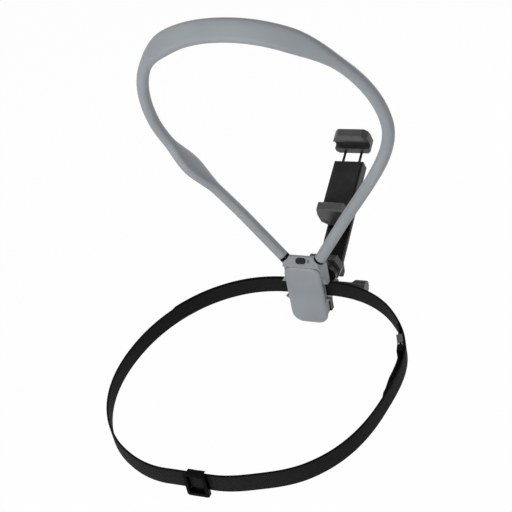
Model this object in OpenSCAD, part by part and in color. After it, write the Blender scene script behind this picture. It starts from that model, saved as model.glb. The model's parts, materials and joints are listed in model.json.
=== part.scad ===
// Neck phone holder: a neckband with a chest housing, a swivelling arm, a sprung phone clamp
// and a chest belt. X is the wearer's right, Y points away from the chest, Z is up.
// The origin is the middle of the chest pad's face. All sizes are in millimetres.

/* [Chest housing] */
// Width of the housing and of the chest pad
housing_w = 36; // [34:1:44]
// Height of the chest pad, the same above and below the origin
pad_h = 61; // [58:1:70]
// Height of the housing's top above the chest pad
crest_h = 9.3; // [8.6:0.1:12]
// Depth of the two shells and the pad together
housing_d = 20; // [19:0.5:24]
// Thickness of the chest pad
pad_t = 3; // [2.5:0.5:4]
// How far the pad's face is crowned at its edges
pad_crown = 1.2; // [0.6:0.1:1.6]
// Wall thickness of the shells
wall = 2; // [1.8:0.1:2.6]
// Radius of the lower corners
corner_low = 12; // [8:0.5:13]
// Radius of the upper corners
corner_top = 8; // [6:0.5:9]

/* [Neckband] */
// Diameter of the band's round stretches
band_d = 10.4; // [9:0.2:12]
// Diameter of the bendable rod inside the band
core_d = 4; // [3:0.2:4.6]
// Greatest distance of the band from the middle plane
band_reach = 107.5; // [98:0.5:116]
// Height of the band at its widest place
shoulder_z = 187.5; // [178:0.5:198]
// How far the band lies behind the origin at its widest place
shoulder_back = 13; // [6:1:20]
// Height of the band at the nape
nape_z = 284.5; // [270:0.5:300]
// How far the band lies behind the origin at the nape
nape_back = 55.5; // [46:0.5:66]
// Width of the nape pad
nape_w = 18.8; // [16:0.2:28]
// Half the length of the nape pad's full width
nape_flat = 54; // [36:1:60]
// Length of the nape pad's taper
nape_taper = 46; // [30:1:54]
// Lean of the nape pad, from level
nape_lean = 70; // [60:1:90]
// Width of the two collar pads
collar_w = 21; // [16:1:26]
// Height of the middle of the collar pads
collar_z = 136; // [124:1:144]
// Half the length of a collar pad
collar_half = 34; // [30:1:46]
// Angle of the band's straight ends from upright
splay = 35; // [30:1:40]
// Distance of the joint rings inside the housing's sides
ring_inset = 0.3; // [-0.6:0.1:1]
// Distance of the joint rings below the housing's top
ring_drop = 2.8; // [1.4:0.1:3.6]
// Width of the joint rings
ring_w = 3; // [1.8:0.1:3]

/* [Belt] */
// Width of the webbing
belt_w = 16; // [15:0.5:19]
// Thickness of the webbing
belt_t = 1.6; // [1.2:0.1:1.8]
// Greatest distance of the belt from the middle plane
belt_reach = 122.3; // [112:0.1:132]
// Distance from the belt's front to its widest place
belt_front = 125.5; // [114:0.5:136]
// Distance from the belt's widest place to its back
belt_back = 131; // [118:1:142]
// Height of the belt's middle
belt_z = 3.5; // [1:0.5:5]
// Thickness of the belt's slider
glide_t = 3.4; // [3:0.2:5]
// Length of the belt's slider along the webbing
glide_l = 19; // [16:0.5:22]

/* [Front mount] */
// Radius of the dock's round neck
neck_r = 9; // [8:0.5:10]
// Distance from the housing's front to the dock plate
neck_l = 16; // [14:0.5:20]
// Half width of the dock plate
plate_half = 17; // [15:0.5:20]
// Height of the dock plate
plate_h = 16; // [15:0.5:18]
// Thickness of the dock plate
plate_t = 5; // [4:0.5:6]
// Radius of the swivel drum
drum_r = 12; // [10:0.5:13]
// Depth of the drum
drum_l = 5; // [4:0.5:7]
// Half width of the mount block's top and bottom edges
block_edge_half = 13.8; // [12:0.2:15]
// Half width of the mount block at its widest
block_half = 19; // [17:0.5:21]
// Height of the mount block
block_h = 21.2; // [20:0.2:23]
// Depth of the mount block
block_d = 8.4; // [8:0.2:10]

/* [Arm] */
// Distance from the swivel's axis down to the lower hinge
hinge_drop = 25.5; // [25:0.5:29]
// Outer radius of the lower hinge
knuckle_r = 7; // [6:0.2:7]
// Half width of the two prongs of the lower hinge
prong_half = 7.5; // [7:0.1:9]
// Angle of the arm above level
arm_tilt = 30; // [20:1:34]
// Length of the arm from the lower hinge to the upper one
arm_l = 101; // [94:1:108]
// Width of the arm's channel
arm_w = 25; // [23:0.5:28]
// Height of the arm's side walls
arm_h = 4; // [3.6:0.2:5]
// Distance from the hinge's axis to the top of the arm's walls
arm_rise = 12; // [11.6:0.2:12.6]
// Diameter of the clamp screw in the lower hinge
screw_d = 5; // [4:0.5:6]
// Diameter of the thumb knob
knob_d = 14.4; // [12:0.4:18]
// Distance of the knob's end from the middle plane
knob_end = 38.5; // [36:0.5:44]

/* [Phone clamp] */
// Angle of the clamp above level
clamp_tilt = 28; // [20:1:36]
// Width of the phone that the clamp is set to
phone_w = 76.7; // [70:0.1:80]
// Thickness of that phone
phone_t = 8.25; // [7:0.05:9]
// Width of the clamp's body
clamp_w = 31; // [29:0.5:36]
// Thickness of the clamp's body
clamp_t = 10; // [9:0.5:12]
// Distance of the body's far end from the phone's middle
clamp_end = 20; // [16:0.5:22]
// Diameter of the two jaw rods
rod_d = 2.6; // [2:0.1:3]
// Distance between the two jaw rods
rod_gap = 17.5; // [15:0.5:19]
// Half width of the jaws' flat faces
jaw_face_half = 13; // [11:0.5:14]
// Half width of the sliding jaw at its widest
jaw_half = 18.5; // [17:0.5:20]
// Height of the jaws' faces above the phone's screen
jaw_rise = 7; // [5.5:0.5:9]
// Depth of the jaws behind the phone's edge
jaw_depth = 10; // [8:0.5:12]
// How far the jaws' lips reach over the screen
lip = 2.6; // [1.5:0.2:3.2]

/* [Hidden] */

// Finish of curves, clearances and the overrun of cuts
round_fn = 64;
small_fn = 32;
crown_fn = 720;
fit_gap = 0.05;
slide_gap = 0.3;
over = 1;

// Colours
band_grey = [0.56, 0.58, 0.60];
shell_grey = [0.58, 0.60, 0.62];
pad_grey = [0.57, 0.59, 0.61];
black = [0.07, 0.07, 0.08];
dark_grey = [0.22, 0.22, 0.23];
mid_grey = [0.33, 0.33, 0.34];
webbing_black = [0.10, 0.10, 0.11];
steel = [0.75, 0.76, 0.78];
rubber_black = [0.12, 0.12, 0.12];

// Chest housing
pad_half = pad_h / 2;
side_x = housing_w / 2;
housing_top = pad_half + crest_h;
disc_r = 6;
disc_t = 1;
shell_y = pad_t;
belt_room = 1.2;
belt_inset = 7;
belt_y = pad_t + belt_inset;
belt_slot_t = belt_t + belt_room;
belt_slot_h = belt_w + belt_room;
split_y = belt_y + belt_slot_t / 2 + wall;
front_y = housing_d;
brow_y = 0.3;
brow_low = pad_half + slide_gap;
brow_h = 1.4;
brow_z = pad_half + brow_h;
crest_y = 5.4;
crest_end_y = 8.2;
slope_y = 11;
slope_drop = 3.8;
slope_z = housing_top - slope_drop;
front_drop = 15.8;
front_top_z = housing_top - front_drop;
front_rise = 18.5;
front_low_z = front_rise - pad_half;
chin_t = 1;
chin_y = split_y + chin_t;
face_slope = 57.5;
face_y = 3.3;
face_drop = 3.2;
face_z = housing_top - face_drop;
button_w = 9.3;
button_h = 5;
button_proud = 0.9;
button_head = 3;
button_stem_d = 3;
button_travel = 1.5;
button_room = 0.9;
button_floor = button_head - button_proud + button_travel + button_room;
button_stem_end = 9.2;
button_spring_d = 4.4;
button_spring_wire = 0.6;
fin_reach = 5.2;
fin_upper = 11;
fin_lower = 5;
fin_t = 5;
fin_low_share = 0.95;
side_button_y = 13;
side_button_rise = 13.5;
side_button_z = side_button_rise - pad_half;
side_button_travel = 1.2;
side_button_w = 5.8;
side_button_h = 11.5;
side_button_proud = 1.4;
side_button_flange = 1.1;
side_stem_d = 2.6;
side_base = side_x - wall - side_button_flange;
side_spring_d = 4;
side_spring_wire = 0.5;
post_d = 5;
post_inset = 5.6;
post_x = side_x - post_inset;
post_drop = 11.5;
post_z = pad_half - post_drop;
post_rise = 6;
post_low_z = post_rise - pad_half;
low_head_t = 2.2;
low_head_y = split_y + low_head_t;
screw_head_d = 3.6;
screw_head_t = 1.4;
screw_shank_d = 1.8;
screw_reach = 5;
pocket_y = shell_y + wall;
rib_x = 6.8;
rib_t = 1.6;
rib_h = 6;
latch_w = 15;
latch_t = 1.6;
latch_hole_r = 5.6;
latch_travel = 1;
latch_y = split_y + slide_gap;
finger_half = 2;
finger_y = 10;
finger_drop = 14.6;
finger_low = face_z - finger_drop;
finger_t = 2;
finger_gap = 7.4;
finger_top = face_z - finger_gap;
latch_lap = 2.5;
latch_top = finger_low + latch_lap;
hook_half = 3;
catch_y = front_y + 1.4;
catch_t = 1.6;
catch_rise = 0.8;
hook_low = -neck_r - latch_travel - wall;
latch_low = hook_low;
magnet_r = 5;
magnet_t = 2.2;
mark_r = 1.5;
mark_w = 0.7;
mark_t = 0.3;
mark_x = 6.8;

// Neckband
band_r = band_d / 2;
core_r = core_d / 2;
core_fit = 0.12;
band_rake = 3;
ring_x = side_x - ring_inset;
ring_y = 7.5;
ring_z = housing_top - ring_drop;
ring_t = 1.3;
plug_d = 7.2;
plug_l = 13;
plug_in_band = 7;
boss_base_d = 11.6;
boss_l = 15;
band_sides = 16;
flatness = 1.4;
core_sides = 8;
band_steps_straight = 8;
band_steps_lower = 14;
band_steps_upper = 22;

// Unit vector along the straight end of the band, on the wearer's right
band_dir = [sin(splay), -sin(band_rake) * cos(splay), cos(band_rake) * cos(splay)];
ring_at = [ring_x, ring_y, ring_z];
band_start = ring_at + band_dir * ring_w / 2;
straight_l = 49;
band_bend = band_start + band_dir * straight_l;
shoulder = [band_reach, -shoulder_back, shoulder_z];
nape = [0, -nape_back, nape_z];

// Shares of the free stretches that the curve's handles take
lower_handles_share = [0.37, 0.28];
upper_handles_share = [0.35, 0.44];
shoulder_slope = 17.5;
shoulder_dir = [0, -sin(shoulder_slope), cos(shoulder_slope)];
lower_span = norm(shoulder - band_bend);
upper_span = norm(nape - shoulder);
band_lower = [
    band_bend, band_bend + band_dir * lower_span * lower_handles_share[0],
    shoulder - shoulder_dir * lower_span * lower_handles_share[1], shoulder
];
band_upper = [
    shoulder, shoulder + shoulder_dir * upper_span * upper_handles_share[0],
    nape + [1, 0, 0] * upper_span * upper_handles_share[1], nape
];

function bezier(p, t) =
    pow(1 - t, 3) * p[0] + 3 * pow(1 - t, 2) * t * p[1] + 3 * (1 - t) * t * t * p[2] + pow(t, 3) * p[3];

// The band's middle line on the wearer's right, from the ring up to just before the nape
half_route = concat(
    [for (i = [0 : band_steps_straight - 1]) band_start + band_dir * straight_l * i / band_steps_straight],
    [for (i = [0 : band_steps_lower - 1]) bezier(band_lower, i / band_steps_lower)],
    [for (i = [0 : band_steps_upper - 1]) bezier(band_upper, i / band_steps_upper)]
);
half_count = len(half_route);
band_route = concat(
    half_route, [nape],
    [for (i = [half_count - 1 : -1 : 0]) [-half_route[i].x, half_route[i].y, half_route[i].z]]
);
band_count = len(band_route);

function unit(v) = v / norm(v);
function along(route, i) =
    unit(route[min(i + 1, len(route) - 1)] - route[max(i - 1, 0)]);
function square_to(v, t) = unit(v - t * (v * t));
function smooth(x) = let(c = min(max(x, 0), 1)) c * c * (3 - 2 * c);
function nape_share(p) = smooth((nape_flat + nape_taper - norm(p - nape)) / nape_taper);
function collar_mid() = collar_z;
function collar_share(p) = smooth(1 - abs(p.z - collar_mid()) / (collar_half * cos(splay)));
function band_width(p) = band_d + (nape_w - band_d) * nape_share(p) + (collar_w - band_d) * collar_share(p);
function square_power(p) = 2 / (2 + flatness * max(nape_share(p), collar_share(p)));
function wide_dir(p) =
    let(k = smooth((p.z - collar_z - collar_half) / (nape_z - collar_z - 2 * collar_half)))
    unit([0, 1 - k + k * cos(nape_lean), k * sin(nape_lean)]);

// A value raised to a power with its sign kept
function lifted(x, q) = sign(x) * pow(abs(x), q);

// Rings of points round the band, w by h, at every point of its route, square-shouldered where q is under 1
function band_ring_points(route, i, w, h, sides, q) =
    let(t = along(route, i), e = square_to(wide_dir(route[i]), t), f = cross(t, e))
    [for (j = [0 : sides - 1]) let(a = 360 * j / sides)
        route[i] + e * lifted(cos(a), q) * w / 2 + f * lifted(sin(a), q) * h / 2];

// A closed tube through rings that all have the same number of points
module skin(rings) {
    n = len(rings);
    m = len(rings[0]);
    points = [for (r = rings) each r];
    sides = [for (i = [0 : n - 2]) for (j = [0 : m - 1]) let(k = (j + 1) % m)
        each [[i * m + j, (i + 1) * m + j, i * m + k], [i * m + k, (i + 1) * m + j, (i + 1) * m + k]]];
    first = [for (j = [1 : m - 2]) [0, j, j + 1]];
    last = [for (j = [1 : m - 2]) [(n - 1) * m, (n - 1) * m + j + 1, (n - 1) * m + j]];
    polyhedron(points, concat(sides, first, last));
}

// Belt
belt_straight = 20;
belt_curve = belt_reach - belt_straight;
belt_power = 2.1;
belt_steps = 44;
belt_mid_y = belt_y - belt_front;
layer_from = 74;
layer_to = 88;

// A point of the belt's middle line on the wearer's right, from the front at 0 to the back at 180
function belt_point(a) =
    let(s = abs(sin(a)), c = abs(cos(a)), q = 2 / belt_power)
    [belt_straight + belt_curve * pow(s, q),
     belt_mid_y + (a < 90 ? belt_front : -belt_back) * pow(c, q), belt_z];
function belt_normal(a) =
    let(t = unit(belt_point(min(a + 1, 180)) - belt_point(max(a - 1, 0)))) [-t.y, t.x, 0];
function hill(a, middle, half) = smooth(1 - abs(a - middle) / half);

// The limp webbing lies in gentle waves, outwards or inwards, each round its own angle. On the right
// it also stands off to clear the hook
bulge = 2.6;
bulge_a = 72;
bulge_half = 28;
right_out = 2.6;
right_out_a = 129;
right_out_half = 35;
right_in = 2;
right_in_a = 161;
right_in_half = 21;
left_in = 2.2;
left_in_a = 140;
left_in_half = 50;
sag = 1.6;
sag_half = 24;
function right_point(a) = belt_point(a) + [bulge * hill(a, bulge_a, bulge_half), 0, 0] + belt_normal(a)
    * (right_out * hill(a, right_out_a, right_out_half) - right_in * hill(a, right_in_a, right_in_half));
function left_mirrored(a) = belt_point(a) + belt_normal(a)
    * (sag * hill(a, 180, sag_half) - left_in * hill(a, left_in_a, left_in_half));
function left_point(a) = let(p = left_mirrored(a)) [-p.x, p.y, p.z];
belt_route = concat([for (i = [0 : belt_steps]) right_point(180 * i / belt_steps)],
    [for (i = [belt_steps : -1 : 0]) left_point(180 * i / belt_steps)]);
belt_count = len(belt_route);

function belt_along(i) =
    unit(belt_route[(i + 1) % belt_count] - belt_route[(i - 1 + belt_count) % belt_count]);
function belt_out(i) = let(t = belt_along(i)) [-t.y, t.x, 0];

// Tri-glide slider, at the back of the belt
glide_x = 8.8;
belt_side_gap = 0.4;
glide_drop = 1.85;
glide_rail = 2.8;
glide_rail_top = 2.2;
glide_rail_low = 3;
glide_r = 2.2;
glide_top = belt_w / 2 + glide_rail - glide_drop;
glide_low = -belt_w / 2 - glide_rail - glide_drop;
glide_bar_w = 3;
glide_window_h = belt_w + 2 * belt_side_gap;
glide_bar_t = 1;
glide_near = belt_t / 2 + slide_gap;
glide_lug_w = glide_l - 2 * glide_r;
back_right = right_point(180);
back_left = left_point(180);
back_span = back_right - back_left;

// Hook fastener on the right of the belt
hook_a = 72.4;
ring_a = 66.1;
hook_room = 0.7;
hook_l = 9;
hook_rail = 1.5;
hook_h = belt_w + 2 * hook_rail;
hook_wall = 1;
hook_t = belt_t + 2 * (hook_room + hook_wall);
hook_off = 0.6;
inner_off = belt_t / 2 + hook_off + hook_t / 2;
ring_l = 10.5;
inner_from = 13;
inner_to = 24;
inner_a = 76;
inner_half = 20;
inner_taper = 8;

// Front mount
dock_y = front_y - wall;
plate_y = front_y + neck_l;
drum_y = plate_y + plate_t;
drum_end = drum_y + drum_l;
block_y = drum_end + slide_gap;
block_end = block_y + block_d;
block_top = block_h / 2;
block_rim = 2.2;
block_recess = 2;
hub_r = 7.5;
hub_y = block_y + block_recess - slide_gap;
sink_r = 7.2;
sink_l = 3.2;
sink_y = block_end - sink_l;
washer_t = 0.6;
washer_r = 6.8;
screw_head_r = 4.2;
screw_head_l = 2;
swivel_thread_d = 4;
swivel_thread_l = 6.5;

// Lower hinge
hinge_y = block_end;
hinge_z = -hinge_drop;
tongue_half = 3;
nut_af = 8;
nut_t = 3.4;
nut_sink = 2;
knob_neck_r = 4.5;
knob_cone_l = 4;
knob_l = 11.5;
knob_start = knob_end - knob_l;
knob_ribs = 14;
knob_rib_r = 0.8;

// Arm, in its own plane: Y runs from the lower hinge to the upper one
arm_low = arm_rise - arm_h;
arm_floor = 1.6;
arm_wall = 1.6;
arm_start = 17.6;
arm_end_l = 4.5;
foot_start = 8.6;
foot_low = 1;
foot_half = 12.9;
foot_chamfer = 2;
tongue_top = 4;
pivot_lift = 1.2;
pivot_rise = arm_rise + pivot_lift;
pivot_r = 3.3;
ear_r = 3;
pivot_half = 5;
pivot_ear = 3.2;
pivot_pin_d = 3;
pin_head_d = 5;
pin_head_t = 1.2;
pin_extra = 2;
clip_t = 0.8;
clip_d = 5.6;

// Phone clamp, in the phone's own plane: X across, Y from the near to the far edge, Z out of the screen
phone_half = phone_w / 2;
back_gap = 0.55;
sheet_t = 1.2;
sheet_gap = 3;
body_top = -phone_t - back_gap - sheet_t;
body_low = body_top - clamp_t;
cover_t = 1.6;
cover_low = body_low - cover_t;
pivot_u = -4;
cover_gap = 0.4;
pivot_n = cover_low - ear_r - cover_gap;
pivot_y = hinge_y + arm_l * cos(arm_tilt) - pivot_rise * sin(arm_tilt);
pivot_z = hinge_z + arm_l * sin(arm_tilt) + pivot_rise * cos(arm_tilt);
rod_drop = 5.3;
rod_n = body_top - rod_drop;
rod_x = rod_gap / 2;
jaw_pad_t = 1;
jaw_pad_gap = 0.25;
jaw_wall_u = phone_half + jaw_pad_gap + jaw_pad_t;
jaw_wall_t = 3;
jaw_back_u = phone_half + jaw_depth;
body_near = -(jaw_wall_u + jaw_wall_t);
jaw_open = 13;
jaw_shut = 13.5;
jaw_foot_gap = 1;
jaw_foot_u = clamp_end + jaw_shut + jaw_foot_gap;
head_d = 4.4;
head_t = 2;
spring_wire = 0.8;
chamber_d = 5.4;
rod_wall = 5;
head_at = -20.5;
head_shut = head_at - jaw_shut;
chamber_near = head_shut - head_t - jaw_foot_gap;
rod_seat = 7;
lower_jaw_half = 14.7;
lower_jaw_r = 6;
upper_jaw_r = 3;
upper_jaw_low = -17;
screw_jaw_d = 2.4;
screw_jaw_head_d = 3.8;
screw_jaw_head_t = 1.4;
screw_jaw_in = 4;
notch_d = 2.6;
notch_w = 4.4;
notch_h = 4.6;
clamp_screw_d = 1.8;
clamp_screw_head = 3.4;
clamp_screw_head_t = 0.9;
clamp_screw_l = 4;
clamp_screw_places_share = [[-0.78, -0.72], [0.78, -0.72], [-0.78, 0.72], [0.78, 0.72]];

module in_clamp() translate([0, pivot_y, pivot_z]) rotate([clamp_tilt, 0, 0])
    translate([0, -pivot_u, -pivot_n]) children();
module in_arm() translate([0, hinge_y, hinge_z]) rotate([arm_tilt, 0, 0]) children();
module both() { children(); mirror([1, 0, 0]) children(); }
module on_ring() translate(ring_at) rotate([band_rake, 0, 0]) rotate([0, splay, 0]) children();

// A cylinder from Y = a to Y = b
module rod_y(a, b, r) translate([0, a, 0]) rotate([-90, 0, 0]) cylinder(h = b - a, r = r, $fn = round_fn);
// A cylinder from X = a to X = b
module rod_x_dir(a, b, r) translate([a, 0, 0])
    rotate([0, 90, 0]) cylinder(h = b - a, r = r, $fn = round_fn);
// A box between two corners
module box(a, b) translate(a) cube(b - a);

// Rounded outline, w wide, from low to top, with its own radii below and above
module outline(w, low, top, r_low, r_top) {
    for (s = [-1, 1]) {
        translate([s * (w / 2 - r_low), low + r_low]) circle(r = r_low, $fn = round_fn);
        translate([s * (w / 2 - r_top), top - r_top]) circle(r = r_top, $fn = round_fn);
    }
    translate([-w / 2, low + r_low]) square([w, top - r_top - low - r_low]);
    translate([r_low - w / 2, low]) square([w - 2 * r_low, r_low + over]);
    translate([r_top - w / 2, top - r_top - over]) square([w - 2 * r_top, r_top + over]);
}

// An outline in X and Z, standing from Y = a to Y = b
module stand(a, b) translate([0, b, 0]) rotate([90, 0, 0]) linear_extrude(b - a) children();

module housing_outline(inset = 0)
    outline(housing_w - 2 * inset, inset - pad_half, housing_top - inset, corner_low - inset,
        corner_top - inset);

// Side view of the two shells: the distance from the chest and the height
module housing_side() polygon([
    [shell_y, -pad_half], [chin_y, -pad_half], [front_y, front_low_z], [front_y, front_top_z],
    [slope_y, slope_z], [crest_end_y, housing_top], [crest_y, housing_top], [brow_y, brow_z],
    [brow_y, brow_low], [shell_y, brow_low]
]);

// A side view, drawn from X = -half to X = half
module across(half) rotate([90, 0, 90]) translate([0, 0, -half]) linear_extrude(2 * half) children();

module housing_solid(from, to) intersection() {
    stand(from, to) housing_outline();
    across(side_x + over) housing_side();
}

// Places on the slanted face that holds the top button, with Z out of the face
module on_face() translate([0, face_y, face_z]) rotate([face_slope, 0, 0]) children();

module oval_outline(w, h) {
    for (s = [-1, 1]) translate([s * (w - h) / 2, 0]) circle(r = h / 2, $fn = round_fn);
    translate([-(w - h) / 2, -h / 2]) square([w - h, h]);
}
module oval(w, h, t) linear_extrude(t) oval_outline(w, h);

module screw_spots_high() both() translate([post_x, 0, post_z]) children();
module screw_spots_low() both() translate([post_x, 0, post_low_z]) children();

module socket_bore() on_ring() translate([0, 0, plug_in_band - plug_l - fit_gap])
    cylinder(h = plug_l, d = plug_d + 2 * fit_gap, $fn = round_fn);

module neckband_cover() color(band_grey) difference() {
    skin([for (i = [0 : band_count - 1])
        band_ring_points(band_route, i, band_width(band_route[i]), band_d, band_sides,
            square_power(band_route[i]))]);
    skin([for (i = [0 : band_count - 1])
        band_ring_points(band_route, i, core_d + 2 * core_fit, core_d + 2 * core_fit, core_sides, 1)]);
    both() on_ring() cylinder(h = ring_w / 2 + plug_in_band + fit_gap, d = plug_d + 2 * fit_gap,
        $fn = round_fn);
}

// The rod's rings stop where the plugs hold it
core_first = 1;
module neckband_core() color(steel) skin([for (i = [core_first : band_count - 1 - core_first])
    band_ring_points(band_route, i, core_d, core_d, core_sides, 1)]);

module band_plugs() color(steel) both() on_ring() difference() {
    translate([0, 0, -plug_l + plug_in_band]) cylinder(h = plug_l, d = plug_d, $fn = round_fn);
    translate([0, 0, plug_in_band - over]) cylinder(h = 2 * over, d = core_d, $fn = round_fn);
}

module band_ring() color(black) on_ring() difference() {
    translate([0, 0, fit_gap - ring_w / 2])
        cylinder(h = ring_w - 2 * fit_gap, d = band_d, $fn = round_fn);
    translate([0, 0, -ring_w]) cylinder(h = 2 * ring_w, d = plug_d + 2 * fit_gap, $fn = round_fn);
}
module band_ring_right() band_ring();
module band_ring_left() mirror([1, 0, 0]) band_ring();

// One angled socket of the rear shell, flaring into the housing
module boss() difference() {
    on_ring() translate([0, 0, -boss_l])
        cylinder(h = boss_l, d1 = boss_base_d, d2 = band_d, $fn = round_fn);
    box([0, split_y, 0], [2 * housing_w, 2 * split_y, 2 * housing_top]);
    box([0, -split_y, 0], [2 * housing_w, shell_y, brow_low]);
}

// Fins above and below the belt on one side, next to the wearer
module fins() stand(belt_y - belt_slot_t / 2 - fin_t, belt_y - belt_slot_t / 2) {
    polygon([[side_x - wall, belt_z + belt_slot_h / 2 + fin_upper],
        [side_x + fin_reach, belt_z + belt_slot_h / 2], [side_x - wall, belt_z + belt_slot_h / 2]]);
    polygon([[side_x - wall, belt_z - belt_slot_h / 2 - fin_lower],
        [side_x - wall, belt_z - belt_slot_h / 2],
            [side_x + fin_reach * fin_low_share, belt_z - belt_slot_h / 2]]);
}

module belt_channel() box([-side_x - 2 * fin_reach, belt_y - belt_slot_t / 2, belt_z - belt_slot_h / 2],
    [side_x + 2 * fin_reach, belt_y + belt_slot_t / 2, belt_z + belt_slot_h / 2]);

// The hollow below the belt, for the side button
module rear_pocket() intersection() {
    stand(pocket_y, split_y + over) housing_outline(wall);
    box([-housing_w, 0, -pad_h], [housing_w, housing_d, belt_z - belt_slot_h / 2 - wall]);
}

module housing_rear() color(shell_grey) difference() {
    union() {
        difference() {
            housing_solid(0, split_y);
            rear_pocket();
        }
        both() fins();
        both() boss();
        screw_spots_low() rod_y(pocket_y - over, split_y, post_d / 2);
        box([rib_x, pocket_y - over, side_button_z - rib_h / 2],
            [rib_x + rib_t, split_y, side_button_z + rib_h / 2]);
    }
    belt_channel();
    both() socket_bore();
    both() on_ring() translate([0, 0, -ring_w / 2])
        cylinder(h = boss_l, d = band_d + 2 * slide_gap, $fn = round_fn);
    screw_spots_low() rod_y(split_y - screw_reach, split_y + over, screw_shank_d / 2);
    screw_spots_high() rod_y(split_y - screw_reach, split_y + over, screw_shank_d / 2);
    side_window();
    side_stem_bore();
    on_face() translate([0, 0, -button_floor])
        oval(button_w + 2 * slide_gap, button_h + 2 * slide_gap, housing_w);
    on_face() translate([0, 0, -button_stem_end - button_travel])
        cylinder(h = button_stem_end, d = button_stem_d + 2 * fit_gap, $fn = small_fn);
    box([-finger_half - slide_gap, finger_y - slide_gap, finger_low - latch_travel - slide_gap],
        [finger_half + slide_gap, split_y + over, finger_top + slide_gap]);
}

module housing_front() color(shell_grey) difference() {
    union() {
        difference() {
            housing_solid(split_y, front_y);
            intersection() {
                stand(split_y - over, front_y - wall) housing_outline(wall);
                across(side_x) front_hollow();
            }
        }
        screw_spots_high() rod_y(split_y, front_y - wall / 2, post_d / 2);
        screw_spots_low() rod_y(split_y, low_head_y, post_d / 2);
    }
    screw_spots_high() rod_y(split_y - over, front_y + over, screw_shank_d / 2 + fit_gap);
    screw_spots_high() rod_y(front_y - screw_head_t, front_y + over, screw_head_d / 2 + fit_gap);
    screw_spots_low() rod_y(split_y - over, front_y + over, screw_shank_d / 2 + fit_gap);
    screw_spots_low() rod_y(low_head_y - screw_head_t, front_y + over, screw_head_d / 2 + fit_gap);
    side_window();
    side_stem_bore();
    box([-hook_half - slide_gap, front_y - 2 * wall, hook_low - latch_travel - slide_gap],
        [hook_half + slide_gap, front_y + over, slide_gap - neck_r]);
}

// Side view of the hollow in the front shell
module front_hollow() polygon([
    [split_y - over, wall - pad_half], [chin_y, wall - pad_half], [chin_y + wall, wall - pad_half + wall],
    [front_y - wall, front_low_z + wall], [front_y - wall, front_top_z - wall],
        [split_y - over, slope_z - 3 * wall]
]);

// The radius that makes the crown's height over half a width
function crown_radius(half) = (pow(half, 2) + pow(pad_crown, 2)) / (2 * pad_crown);

module chest_pad() color(pad_grey) intersection() {
    stand(0, shell_y - fit_gap) outline(housing_w, -pad_half, pad_half, corner_low, corner_top);
    translate([0, crown_radius(side_x), -pad_h])
        cylinder(h = 2 * pad_h, r = crown_radius(side_x), $fn = crown_fn);
    translate([-housing_w, crown_radius(pad_half), 0]) rotate([0, 90, 0])
        cylinder(h = 2 * housing_w, r = crown_radius(pad_half), $fn = crown_fn);
}

module top_button() color(black) on_face() {
    translate([0, 0, button_proud - button_head]) oval(button_w, button_h, button_head);
    translate([0, 0, -button_stem_end]) cylinder(h = button_stem_end, d = button_stem_d, $fn = small_fn);
}

module ring_tube(d, wire, l) difference() {
    cylinder(h = l, d = d, $fn = small_fn);
    translate([0, 0, -over]) cylinder(h = l + 2 * over, d = d - 2 * wire, $fn = small_fn);
}

module button_spring() color(steel) on_face() translate([0, 0, fit_gap - button_floor])
    ring_tube(button_spring_d, button_spring_wire,
        button_floor + button_proud - button_head - 2 * fit_gap);

module latch_slide() color(dark_grey) {
    difference() {
        box([-latch_w / 2, latch_y, latch_low], [latch_w / 2, latch_y + latch_t, latch_top]);
        rod_y(latch_y - over, latch_y + latch_t + over, latch_hole_r);
    }
    box([-finger_half, finger_y, finger_low], [finger_half, latch_y + latch_t, latch_top]);
    box([-finger_half, finger_y, finger_low], [finger_half, finger_y + finger_t, finger_top]);
    box([-hook_half, latch_y, hook_low], [hook_half, catch_y + catch_t, hook_low + wall]);
    box([-hook_half, catch_y, hook_low], [hook_half, catch_y + catch_t, catch_rise - neck_r]);
}

module side_window() box(
    [side_base - side_button_travel - slide_gap, side_button_y - side_button_w / 2 - slide_gap,
        side_button_z - side_button_h / 2 - slide_gap],
    [side_x + over, side_button_y + side_button_w / 2 + slide_gap,
        side_button_z + side_button_h / 2 + slide_gap]);
module side_stem_bore() translate([0, side_button_y, side_button_z])
    rod_x_dir(rib_x - over, side_x, side_stem_d / 2 + fit_gap);

module side_button() color(black) {
    box([side_base, side_button_y - side_button_w / 2, side_button_z - side_button_h / 2],
        [side_x + side_button_proud, side_button_y + side_button_w / 2,
            side_button_z + side_button_h / 2]);
    translate([0, side_button_y, side_button_z]) rod_x_dir(rib_x, side_base + fit_gap, side_stem_d / 2);
}

module side_spring() color(steel) translate([rib_x + rib_t + fit_gap, side_button_y, side_button_z])
    rotate([0, 90, 0]) ring_tube(side_spring_d, side_spring_wire,
        side_base - rib_x - rib_t - 2 * fit_gap);

module dock_magnet() color(steel) rod_y(front_y - wall - magnet_t, front_y - wall - fit_gap, magnet_r);

module housing_screws() color(steel) {
    screw_spots_high() {
        rod_y(front_y - screw_head_t + fit_gap, front_y - screw_head_t / 4, screw_head_d / 2);
        rod_y(split_y - screw_reach + slide_gap, front_y - screw_head_t / 2, screw_shank_d / 2);
    }
    screw_spots_low() {
        rod_y(low_head_y - screw_head_t + fit_gap, low_head_y - screw_head_t / 4, screw_head_d / 2);
        rod_y(split_y - screw_reach + slide_gap, low_head_y - screw_head_t / 2, screw_shank_d / 2);
    }
}

module lock_mark() color(mid_grey) on_face()
    translate([mark_x, 0, fit_gap]) linear_extrude(mark_t) difference() {
    circle(r = mark_r, $fn = small_fn);
    translate([-mark_w, 0]) circle(r = mark_r, $fn = small_fn);
}

module dock_disc() color(steel) rod_y(front_y + slide_gap, front_y + slide_gap + disc_t, disc_r);

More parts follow.
